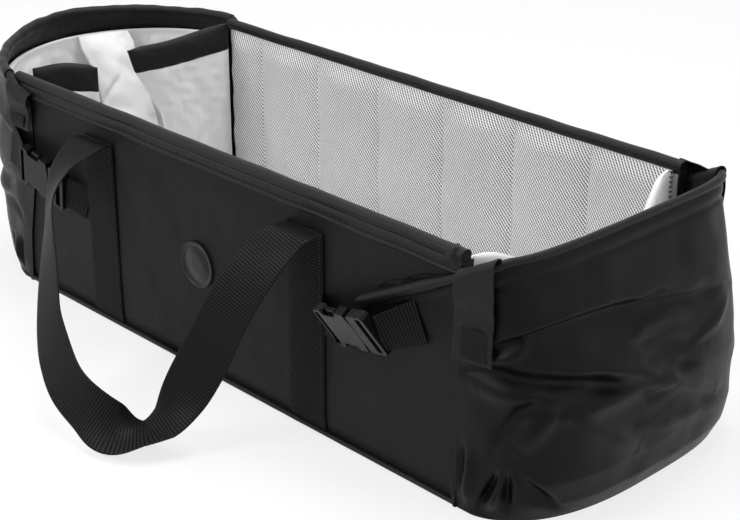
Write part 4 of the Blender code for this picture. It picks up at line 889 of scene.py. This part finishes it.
# The near handle's middle line in millimetres and the way of its width; the far one mirrors it.
HANDLE_LINE = [
    (-158, -154.6, 207, 1, 0, 0), (-157, -168, 207.5, 1, 0.03, 0), (-153, -189, 199, 0.99, -0.07, 0.14),
    (-147, -208, 188, 0.93, -0.21, 0.3), (-136, -228, 168, 0.83, -0.42, 0.37),
    (-117, -246, 143, 0.86, -0.34, 0.38), (-91, -266, 114, 0.9, -0.15, 0.41), (-60, -289, 81, 0.76, 0.09, 0.65),
    (-28, -305, 64, 0.655, 0.28, 0.7), (5, -315.5, 48, 0.61, 0.32, 0.72), (38, -315.5, 34.5, 0.48, 0.42, 0.77),
    (64, -308, 22.5, -0.04, 0.8, 0.6), (83, -288, 18, -0.82, 0.57, -0.08), (91, -269, 25, -0.92, 0.3, 0.12),
    (99, -252, 50, -0.95, -0.23, 0.23), (110, -241, 78, -0.9, -0.37, 0.22),
    (123, -233, 109, -0.94, -0.28, 0.19), (134, -223, 141, -0.96, -0.25, 0.105),
    (144, -209, 169, -0.96, -0.29, 0), (151, -193, 190, -0.96, -0.27, 0), (156, -174, 204, -0.98, -0.17, 0),
    (159, -154.6, 207, -1, 0, 0),
]


def make_handle(side, sign):
    """A loop of flat webbing through measured places, with its width turned smoothly along it."""
    line = curve_through(HANDLE_LINE, 1300)
    mirror = np.array([1, -sign, 1])
    reach = 50  # samples on each side over which the turn is averaged
    window = np.hanning(2 * reach + 1)
    turned = np.pad(unit(line[:, 3:]), ((reach, reach), (0, 0)), mode="edge")
    turned = xyz(*[np.convolve(turned[:, k], window / window.sum(), mode="valid") for k in range(3)])
    middle = line[:, :3] * MM * mirror
    front, back, uv, _ = strap_grid(middle, turned * mirror, WEBBING_WIDTH, WEBBING, 10, ribs=0.00042)
    keep_off_floor(front, back)
    two_faced(side + "_handle_strap", front, back, STRAP, side + "_handle", side + "_handle", uv)


# Badge, corner tabs and the loose cloth about the corners

# The badge's raised rim in millimetres: in from its edge, and below its top.
BADGE_RIM = [(0.0, 0.8), (0.4, 0.2), (1.1, 0.0), (1.8, 0.2), (2.2, 0.8), (4.0, 0.8), (4.4, 1.2), (5.0, 1.2), (5.4, 0.8)]


def make_badge():
    """A turned disc: flat field, a fine inner groove and a rounded raised rim."""
    low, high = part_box("round_badge")
    centre = (low + high) / 2
    radius, thick = (high.x - low.x) / 2, high.y - low.y
    profile = [(radius - 0.0004, 0.0), (radius, 0.0006)]
    profile += [(radius - inward * MM, thick - down * MM) for inward, down in BADGE_RIM]
    profile += [(0.006, thick - 0.0007), (0.0005, thick - 0.0007)]
    r, depth = np.array(profile).T[..., None]
    turn = circle(96)
    rings = xyz(centre.x + r * np.cos(turn), -WRAP_FACE - depth, centre.z + r * np.sin(turn))
    carried("round_rubber_badge", rings, RUBBER, "shell", "round_badge")


def node_points(name):
    """The vertices of one of the frame's nodes."""
    return np.array([v.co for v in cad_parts[name].data.vertices])


def make_tab(end, side, sign):
    """A cloth strap hung over the rim hem, with stitched edges and a patch of hook tape on its lower part."""
    name = f"{side}_{end.name}_tab"
    foot = end is FOOT
    points = node_points(name)
    low, high = points.min(0), points.max(0)
    middle = (low + high) / 2
    turn = math.radians(12) if foot else 0.0
    width_way = np.array([end.sign * math.cos(turn), -sign * math.sin(turn), 0.0])
    out_way = np.array([end.sign * math.sin(turn), sign * math.cos(turn), 0.0])
    width = 2 * ((points @ width_way).max() - middle @ width_way)
    face = (points @ out_way).max() - 0.0007
    rim = rim_path(end)
    rim = rim[rim[:, 1] * sign > 0.05]
    near = int(np.argmin(np.linalg.norm(rim[:, :2] - middle[:2], axis=1)))
    hem = rim[near]
    way = rim[min(near + 6, len(rim) - 1)] - rim[max(near - 6, 0)]
    limit = 0.6 if foot else 0.25
    slope = float(np.clip(way[2] / (way @ width_way), -limit, limit))
    # Down the profile: the tail inside the rim, the curl over the hem, and the drop outside.
    radius = TUBE_RADIUS + 0.0030
    inside = np.linspace(0.016, 0.001, 8) if foot else np.array([0.001])
    curl = np.linspace(math.radians(200), 0.0, 26)
    drop = np.linspace(0, 1, 60)[1:]
    over = hem @ out_way
    hung = radius + (face - over - radius) * ease(0, 0.5, drop) + 0.0006 * np.sin(drop * 9.0) * ease(0, 0.2, drop)
    out = over + np.concatenate([np.full_like(inside, radius * math.cos(curl[0])), radius * np.cos(curl), hung])
    height = [radius * math.sin(curl[0]) - inside, radius * np.sin(curl), (low[2] - hem[2]) * drop]
    centre = width_way * (middle @ width_way) + out_way * out[:, None]
    centre[:, 2] = hem[2] + np.concatenate(height)
    front, back, uv, normal = strap_grid(centre, width_way, width, 0.0014, 12)
    level = np.concatenate([np.ones(len(inside) + len(curl)), 1 - ease(0.0, 0.55, drop)])
    crease = 0.0006 * ripples(uv[..., 0], uv[..., 1], 0.018, 131 + sign + 3 * end.sign)
    for grid in (front, back):
        grid[..., 2] += level[:, None] * slope * uv[..., 1]
        grid += normal[:, None] * crease[..., None]
    two_faced(name + "_strap", front, back, TAB_CLOTH, name, name, uv)
    outer, normal = (front, normal) if np.mean(normal[-20:] @ out_way) > 0 else (back, -normal)
    for label, column in (("a_0", 3), ("a_1", 4), ("b_0", -4), ("b_1", -5)):
        stitches(f"{name}_stitch_{label}", outer[14:-3, column], normal[14:-3], name)
    lower = outer[-24:-3, outer.shape[1] // 2] + normal[-24:-3] * 0.0005
    front, back, uv, _ = strap_grid(lower, width_way, width - 0.0125, 0.0009, 10)
    two_faced(name + "_hook_tape", front, back, PATCH, name, uv=uv)


def make_hem_backing(side, sign):
    """The foot wing's loose back layer: a wavy strip that stands up behind the hem, leaving a dark tunnel."""
    past = np.linspace(-FOOT.wrap + 0.001, -0.006, 120)
    share = (past + FOOT.wrap) / FOOT.wrap
    arch = np.sin(math.pi * share)
    stand = np.interp(share, [0.0, 0.13, 0.37, 0.62, 0.92, 1.0], [0.0008, 0.0066, 0.0080, 0.0062, 0.0008, 0.0004])
    top = FOOT.top(past) + TUBE_RADIUS + stand + 0.0009 * ripples(past, 0, 0.020, 141) * arch
    bottom = FOOT.top(past) - 0.003
    v = np.linspace(0, 1, 14)[:, None]
    height = bottom + (top - bottom) * v
    out = HALF_WIDTH + 0.0012 + np.abs((0.0014 + 0.0011 * ripples(past, height, 0.016, 143)) * v ** 2 * arch)
    front, back = [FOOT.world(past, sign * face, height) for face in (out + 0.0006, out)]
    strip = two_faced(side + "_foot_hem_backing", front, back, SHADED_END_NYLON, "foot_end")


def make_rim_end(side, sign):
    """The knotted foot end of the bound rim: a crumpled lump of its turned-in cloth."""
    x = np.linspace(FOOT_X - 0.020, FOOT_X + 0.0004, 40)[:, None]
    share = (x - x[0]) / (x[-1] - x[0])
    turn = circle(36)
    swell = 0.60 + 0.40 * np.sin(math.pi * (0.15 + 0.80 * share)) ** 0.8
    radius = swell * (1 + 0.16 * ripples(x * 1.6, turn * 0.0075, 0.014, 151))
    depth = HALF_WIDTH - 0.0050 + 0.0082 * radius * np.cos(turn)
    height = RIM_TOP - 0.0112 - 0.003 * share ** 2 + 0.0125 * radius * np.sin(turn)
    carried(side + "_rim_end_fold", xyz(x, sign * depth, height), BINDING, "shell")


def make_rim_tail(side, sign):
    """The turned-in cloth below a bound rim's foot end: a crumpled strip over the side's raw edge."""
    depth, height = np.meshgrid(np.linspace(HALF_WIDTH - 0.0124, HALF_WIDTH + 0.0004, 14),
                                np.linspace(0.170, RIM_TOP - 0.010, 50))
    wave = 0.0005 + 0.0007 * np.abs(ripples(depth, height, 0.020, 171))
    front, back = [xyz(FOOT_X + out, sign * depth, height) for out in (0.0004 + wave, 0.0002)]
    strip = two_faced(side + "_rim_tail", front, back, BINDING, "shell")


def make_corner_fold():
    """Loose cloth of the far foot corner: a soft fold that fills the space between the rim's end and the hem."""
    past, v = np.meshgrid(np.linspace(-0.010, 0.034, 50), np.linspace(0, 1, 30))
    bottom = FOOT.top(past) - 0.002
    top = np.maximum(RIM_TOP - 0.0008 - 0.0020 * ease(0.012, 0.030, past), FOOT.top(past) + 0.4 * TUBE_RADIUS)
    height = bottom + (top - bottom) * v
    wave = 0.0022 * np.sin(math.pi * v) * np.sin(past * 190) + 0.0012 * ripples(past, height, 0.018, 181)
    out = WRAP_FACE + 0.0030 + wave - 0.002 * v
    front, back = [FOOT.world(past, out + half, height) for half in (0.0007, -0.0007)]
    fold = two_faced("far_foot_corner_fold", front, back, SHADED_END_NYLON, "foot_end")


def make_piping(side, sign):
    """Piping sewn along the side's bottom edge: a thin cord in cloth whose girth varies a little."""
    x = np.linspace(HEAD_X + 0.001, FOOT_X - 0.001, 300)
    path = xyz(x, sign * (HALF_WIDTH + 0.0006), 0.0056 + 0.0002 * ripples(x, 0, 0.09, 161))
    girth = 0.0026 + 0.00012 * ripples(x, 0, 0.03, 163)
    carried(side + "_bottom_piping", tube_rings(path, girth, 14), BINDING, "shell")


# Padded pieces

# Each flap: its way in plan from its seam to its free edge, and how far its top is lifted.
FLAPS = {"near_head_flap": ((0.53, 0.85), 0.006), "far_head_flap": ((-0.03, -1.0), 0.0),
         "near_foot_flap": ((0.28, 1.0), 0.010), "far_foot_flap": ((0.28, -1.0), 0.012)}


def make_flap(side, end, sign):
    """A quilted flap: crowned across, thin at its free edges, the head's with a dark bound band along the top."""
    name = f"{side}_{end.name}_flap"
    head = end is HEAD
    p = node_points(name)
    way, lift = FLAPS[name]
    way = np.array(way) / math.hypot(*way)
    normal = np.array([-way[1], way[0]])
    flat, offset = p[:, :2] @ way, p[:, :2] @ normal
    length, thick, tall = np.ptp(flat), np.ptp(offset), np.ptp(p[:, 2])
    u, v = np.meshgrid(np.linspace(0, 1, 70), np.linspace(0, 1, 80))
    tip = 1.0 if head else 0.92 + 0.08 * v
    if name == "far_head_flap":
        tip = np.interp(v, [0.0, 0.45, 0.55, 0.69, 0.86, 1.0], [0.70, 0.71, 0.74, 0.85, 0.99, 1.05])
    distance = flat.min() + length * u * tip
    crown = np.clip(1 - np.abs(2 * u - 1) ** 3.2, 0, 1) ** 0.55
    both = crown * np.clip(1 - np.abs(2 * v - 1) ** 10, 0, 1) ** 0.6
    edge, fatness = 0.0012, 1.45 if head else 1.15
    half = edge + (fatness * thick / 2 - edge) * both
    seed = sign + 7 * end.sign
    crumple = 0.0016 * ripples(u * length, v * tall, 0.05, 81 + seed)
    crumple = (crumple + 0.0007 * ripples(u * length, v * tall, 0.018, 83 + seed)) * both
    band_start = 1 - (0.026 if side == "near" else 0.030) / tall
    z = p[:, 2].min() + tall * v + lift * v ** 3
    if head:
        half = half - 0.0016 * bump(v, band_start, 0.008) * crown
    else:
        z = z - (0.050 if side == "far" else 0.026) * ease(0.12, 1.0, u) * v ** 3
    z = z + v ** 4 * (0.0022 * np.sin(u * 5.5 + sign) - 0.003 * ease(0.85, 1.0, u))
    middle = (offset.min() + offset.max()) / 2 + crumple
    front, back = [np.concatenate([way * distance[..., None] + normal * side_of[..., None], z[..., None]], axis=-1)
                   for side_of in (middle + half, middle - half)]
    item = two_faced(name + "_pad", front, back, [COTTON, BINDING], name, name)
    rows, columns = u.shape
    first_dark = round(band_start * (rows - 1))
    dark = np.tile(np.repeat(np.arange(rows - 1) >= first_dark, columns - 1), 2)
    centre = np.zeros(len(item.data.polygons) * 3)
    item.data.polygons.foreach_get("center", centre)
    dark = np.concatenate([dark, centre[2::3][len(dark):] > z[first_dark, -1]])
    item.data.polygons.foreach_set("material_index", (dark & head).astype(np.int32))


def make_pillow():
    """A crowned pad between the head flaps, leaning on the lining, with soft puckers along its sewn edge."""
    top = HEAD.rim - BAND_DROP
    bottom, foot_past = 0.040, 0.034
    u, v = np.meshgrid(np.linspace(-1, 1, 80), np.linspace(0, 1, 90))
    height = bottom + (top - bottom) * v
    middle = np.interp(v, [0.0, 0.35, 0.55, 0.8, 1.0], [0.032, 0.037, 0.043, 0.042, 0.040])
    wide = np.interp(v, [0.0, 0.35, 0.55, 0.8, 0.93, 1.0], [0.037, 0.036, 0.030, 0.027, 0.031, 0.029])
    across = middle + wide * u
    inner_past, inner_across = HEAD.outline(np.linspace(-QUARTER, QUARTER, 300), top, -0.0125)
    top_past = np.interp(across, inner_across, inner_past) - 0.0023
    past = foot_past + (top_past - foot_past) * v ** 1.3
    crown = (1 - np.abs(u) ** 2.5) * (1 - np.abs(2 * v - 1) ** 3.0)
    half = (0.003 + 0.030 * crown) / 2
    dent = 0.0018 * ripples(across, height, 0.034, 91) * ease(0.02, 0.3, crown)
    dent = dent + 0.0005 * ripples(across, height, 0.012, 93) * (1 - crown) * ease(0, 0.1, crown)
    dent = dent - 0.0045 * bump(height - 0.9 * (across - 0.020), 0.160, 0.004) * bump(across, 0.022, 0.012)
    lean = math.atan2(HEAD.reach - foot_past, top)
    front, back = [HEAD.world(past - out * math.cos(lean), across, height + out * math.sin(lean))
                   for out in (half + dent, -half)]
    pillow = two_faced("head_pillow_pad", front, back, COTTON, "head_end", "head_pillow")


# Rings of the mattress from its bottom to its crown: size as a share of the widest, and share of the height.
MATTRESS_RINGS = [(0.97, 0.0), (0.988, 0.02), (0.997, 0.10), (1.0, 0.35), (0.997, 0.62), (1.0, 0.70), (0.992, 0.79),
                  (0.975, 0.86), (0.94, 0.905), (0.88, 0.935), (0.78, 0.96), (0.62, 0.98), (0.42, 0.99), (0.2, 1.0),
                  (0.03, 1.0)]


def make_mattress():
    """A thin crowned mattress: rings of a rounded oblong that rise to a shallow crown with a piped edge."""
    low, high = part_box("mattress")
    centre, half = (low + high) / 2, (high - low) / 2
    size, level = np.array(MATTRESS_RINGS).T[..., None]
    inset = half.y * (1 - size)
    x, y = signed_power(np.cos(circle(200)), 1 / 3), signed_power(np.sin(circle(200)), 1 / 3)
    rings = xyz(centre.x + x * (half.x - inset), centre.y + y * (half.y - inset), low.z + (high.z - low.z) * level)
    rings[7:, :, 2] += 0.0008 * ripples(rings[7:, :, 0], rings[7:, :, 1], 0.12, 95) - 0.0008
    pad = carried("mattress_pad", rings, COTTON, "mattress", "mattress")


# Buckles and their straps

BUCKLE_LENGTH = 0.070
SOCKET_LENGTH = 0.046
# Where a short strap leaves each half, along the buckle from its mouth, and half the strap's width.
STRAP_START = {"socket": -0.0463, "plug": 0.0243}
STRAP_HALF = SHORT_STRAP_WIDTH / 2


def refine_moulding(name, body, width=0.0007):
    """A moulded piece: the frame's own shape with its corners rounded."""
    work = bmesh.new()
    work.from_mesh(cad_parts[name].data)
    bmesh.ops.remove_doubles(work, verts=work.verts, dist=1e-6)
    bmesh.ops.dissolve_limit(work, angle_limit=math.radians(1.0), verts=work.verts, edges=work.edges)
    mesh = bpy.data.meshes.new(name + "_moulding")
    work.to_mesh(mesh)
    work.free()
    mesh.materials.append(PLASTIC)
    mesh.shade_smooth()
    mesh.set_sharp_from_angle(angle=math.radians(35))
    rounder = settle(name + "_moulding", mesh, body, name).modifiers.new("rounded_edges", "BEVEL")
    rounder.width = width
    rounder.segments = 3
    rounder.limit_method = "ANGLE"
    rounder.angle_limit = math.radians(30)
    rounder.harden_normals = True


def buckle_axes(end, sign):
    """A buckle's mouth, the way from its socket to its plug, and the way of its width."""
    slope, lean, swing = np.radians((13, 29.5, 4) if end is FOOT else (-15.5, 7.7, -5.7))
    inward, height, out = (0.1095, 0.1425, 0.0204) if end is FOOT else (0.0643, 0.1464, 0.0137)
    away = np.array([0.0, sign, 0.0])
    flat = np.array([math.cos(slope), 0.0, math.sin(slope)])
    rise = np.array([-math.sin(slope), 0.0, math.cos(slope)])
    along = flat * math.cos(swing) + away * math.sin(swing)
    leaned = rise * math.cos(lean) + away * math.sin(lean)
    middle = np.array([end.panel_x - end.sign * inward, sign * (HALF_WIDTH + out), height])
    mouth = middle + along * (SOCKET_LENGTH - BUCKLE_LENGTH / 2)
    return mouth, along, unit(leaned - along * (leaned @ along))


def make_short_strap(name, body, starts, stops):
    """A short strap from a buckle's end to its sewn line, dropping smoothly to the cloth."""
    share = np.linspace(0, 1, 160)[:, None]
    edges = []
    for start, stop in zip(starts, np.array(stops)):
        edge = start + (stop - start) * share
        edge[:, 1] = start[1] + (stop[1] - start[1]) * share[:, 0] ** 0.8
        edges.append(edge)
    across = edges[1] - edges[0]
    width = np.linalg.norm(across, axis=1)[:, None]
    front, back, uv, _ = strap_grid((edges[0] + edges[1]) / 2, across, width, WEBBING, 12, ribs=0.0002)
    uv[..., 1] *= SHORT_STRAP_WIDTH / width
    two_faced(name + "_webbing", front, back, SEWN_STRAP, body, name, uv)


def make_buckle(end, side, sign):
    """A closed side release buckle with the strap of its fixed half on the side and the other's on the end."""
    label = f"{side}_{end.name}"
    foot = end is FOOT
    fixed, moving = ("socket", "plug") if foot else ("plug", "socket")
    bodies = {fixed: "shell", moving: f"{label}_{moving}"}
    for part in ("socket", "plug"):
        refine_moulding(f"{label}_buckle_{part}", bodies[part])
    for arm in ("upper_arm", "lower_arm"):
        refine_moulding(f"{label}_buckle_{arm}", f"{label}_{arm}", 0.0006)
    mouth, along, up = buckle_axes(end, sign)
    start = mouth + along * STRAP_START[fixed]
    x = (FOOT_WEBBING_X if foot else HEAD_WEBBING_X) + end.sign * (WEBBING_WIDTH / 2 + GAP)
    height = start[2] + (x - start[0]) * along[2] / along[0]
    out = sign * (WRAP_FACE + WEBBING / 2)
    seams = {fixed: [(x, out, height - STRAP_HALF), (x, out, height + STRAP_HALF)]}
    out = sign * (WRAP_FACE + CLOTH + GAP + WEBBING / 2)
    line = ((-0.0305, 0.1516), (-0.0555, 0.1826)) if foot else ((0.021, 0.1430), (-0.001, 0.1820))
    seams[moving] = [(end.panel_x + end.sign * past, out, height) for past, height in line]
    for part, seam in seams.items():
        start = mouth + along * STRAP_START[part]
        corners = [start - up * STRAP_HALF, start + up * STRAP_HALF]
        make_short_strap(f"{label}_{part}_strap", bodies[part], corners, seam)


# Build

make_base()
make_badge()
make_mattress()
for side, sign in SIDES:
    make_outer_panel(side, sign)
    make_rim_binding(side, sign)
    make_mesh_lining(side, sign)
    make_sewn_webbing(side, sign, "head", HEAD_WEBBING_X)
    make_sewn_webbing(side, sign, "foot", FOOT_WEBBING_X)
    make_handle(side, sign)
    make_hem_backing(side, sign)
    if side == "near":
        make_rim_end(side, sign)
    make_rim_tail(side, sign)
    make_piping(side, sign)
for end in (HEAD, FOOT):
    make_end_wall(end)
    make_rim_tube(end)
    make_end_inside(end)
    for side, sign in SIDES:
        make_tab(end, side, sign)
        make_flap(side, end, sign)
        make_buckle(end, side, sign)
make_pillow()
make_corner_fold()
for name in ("base_board", "near_side_board", "far_side_board"):
    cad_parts[name].data.materials.clear()
    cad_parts[name].data.materials.append(BOARD)
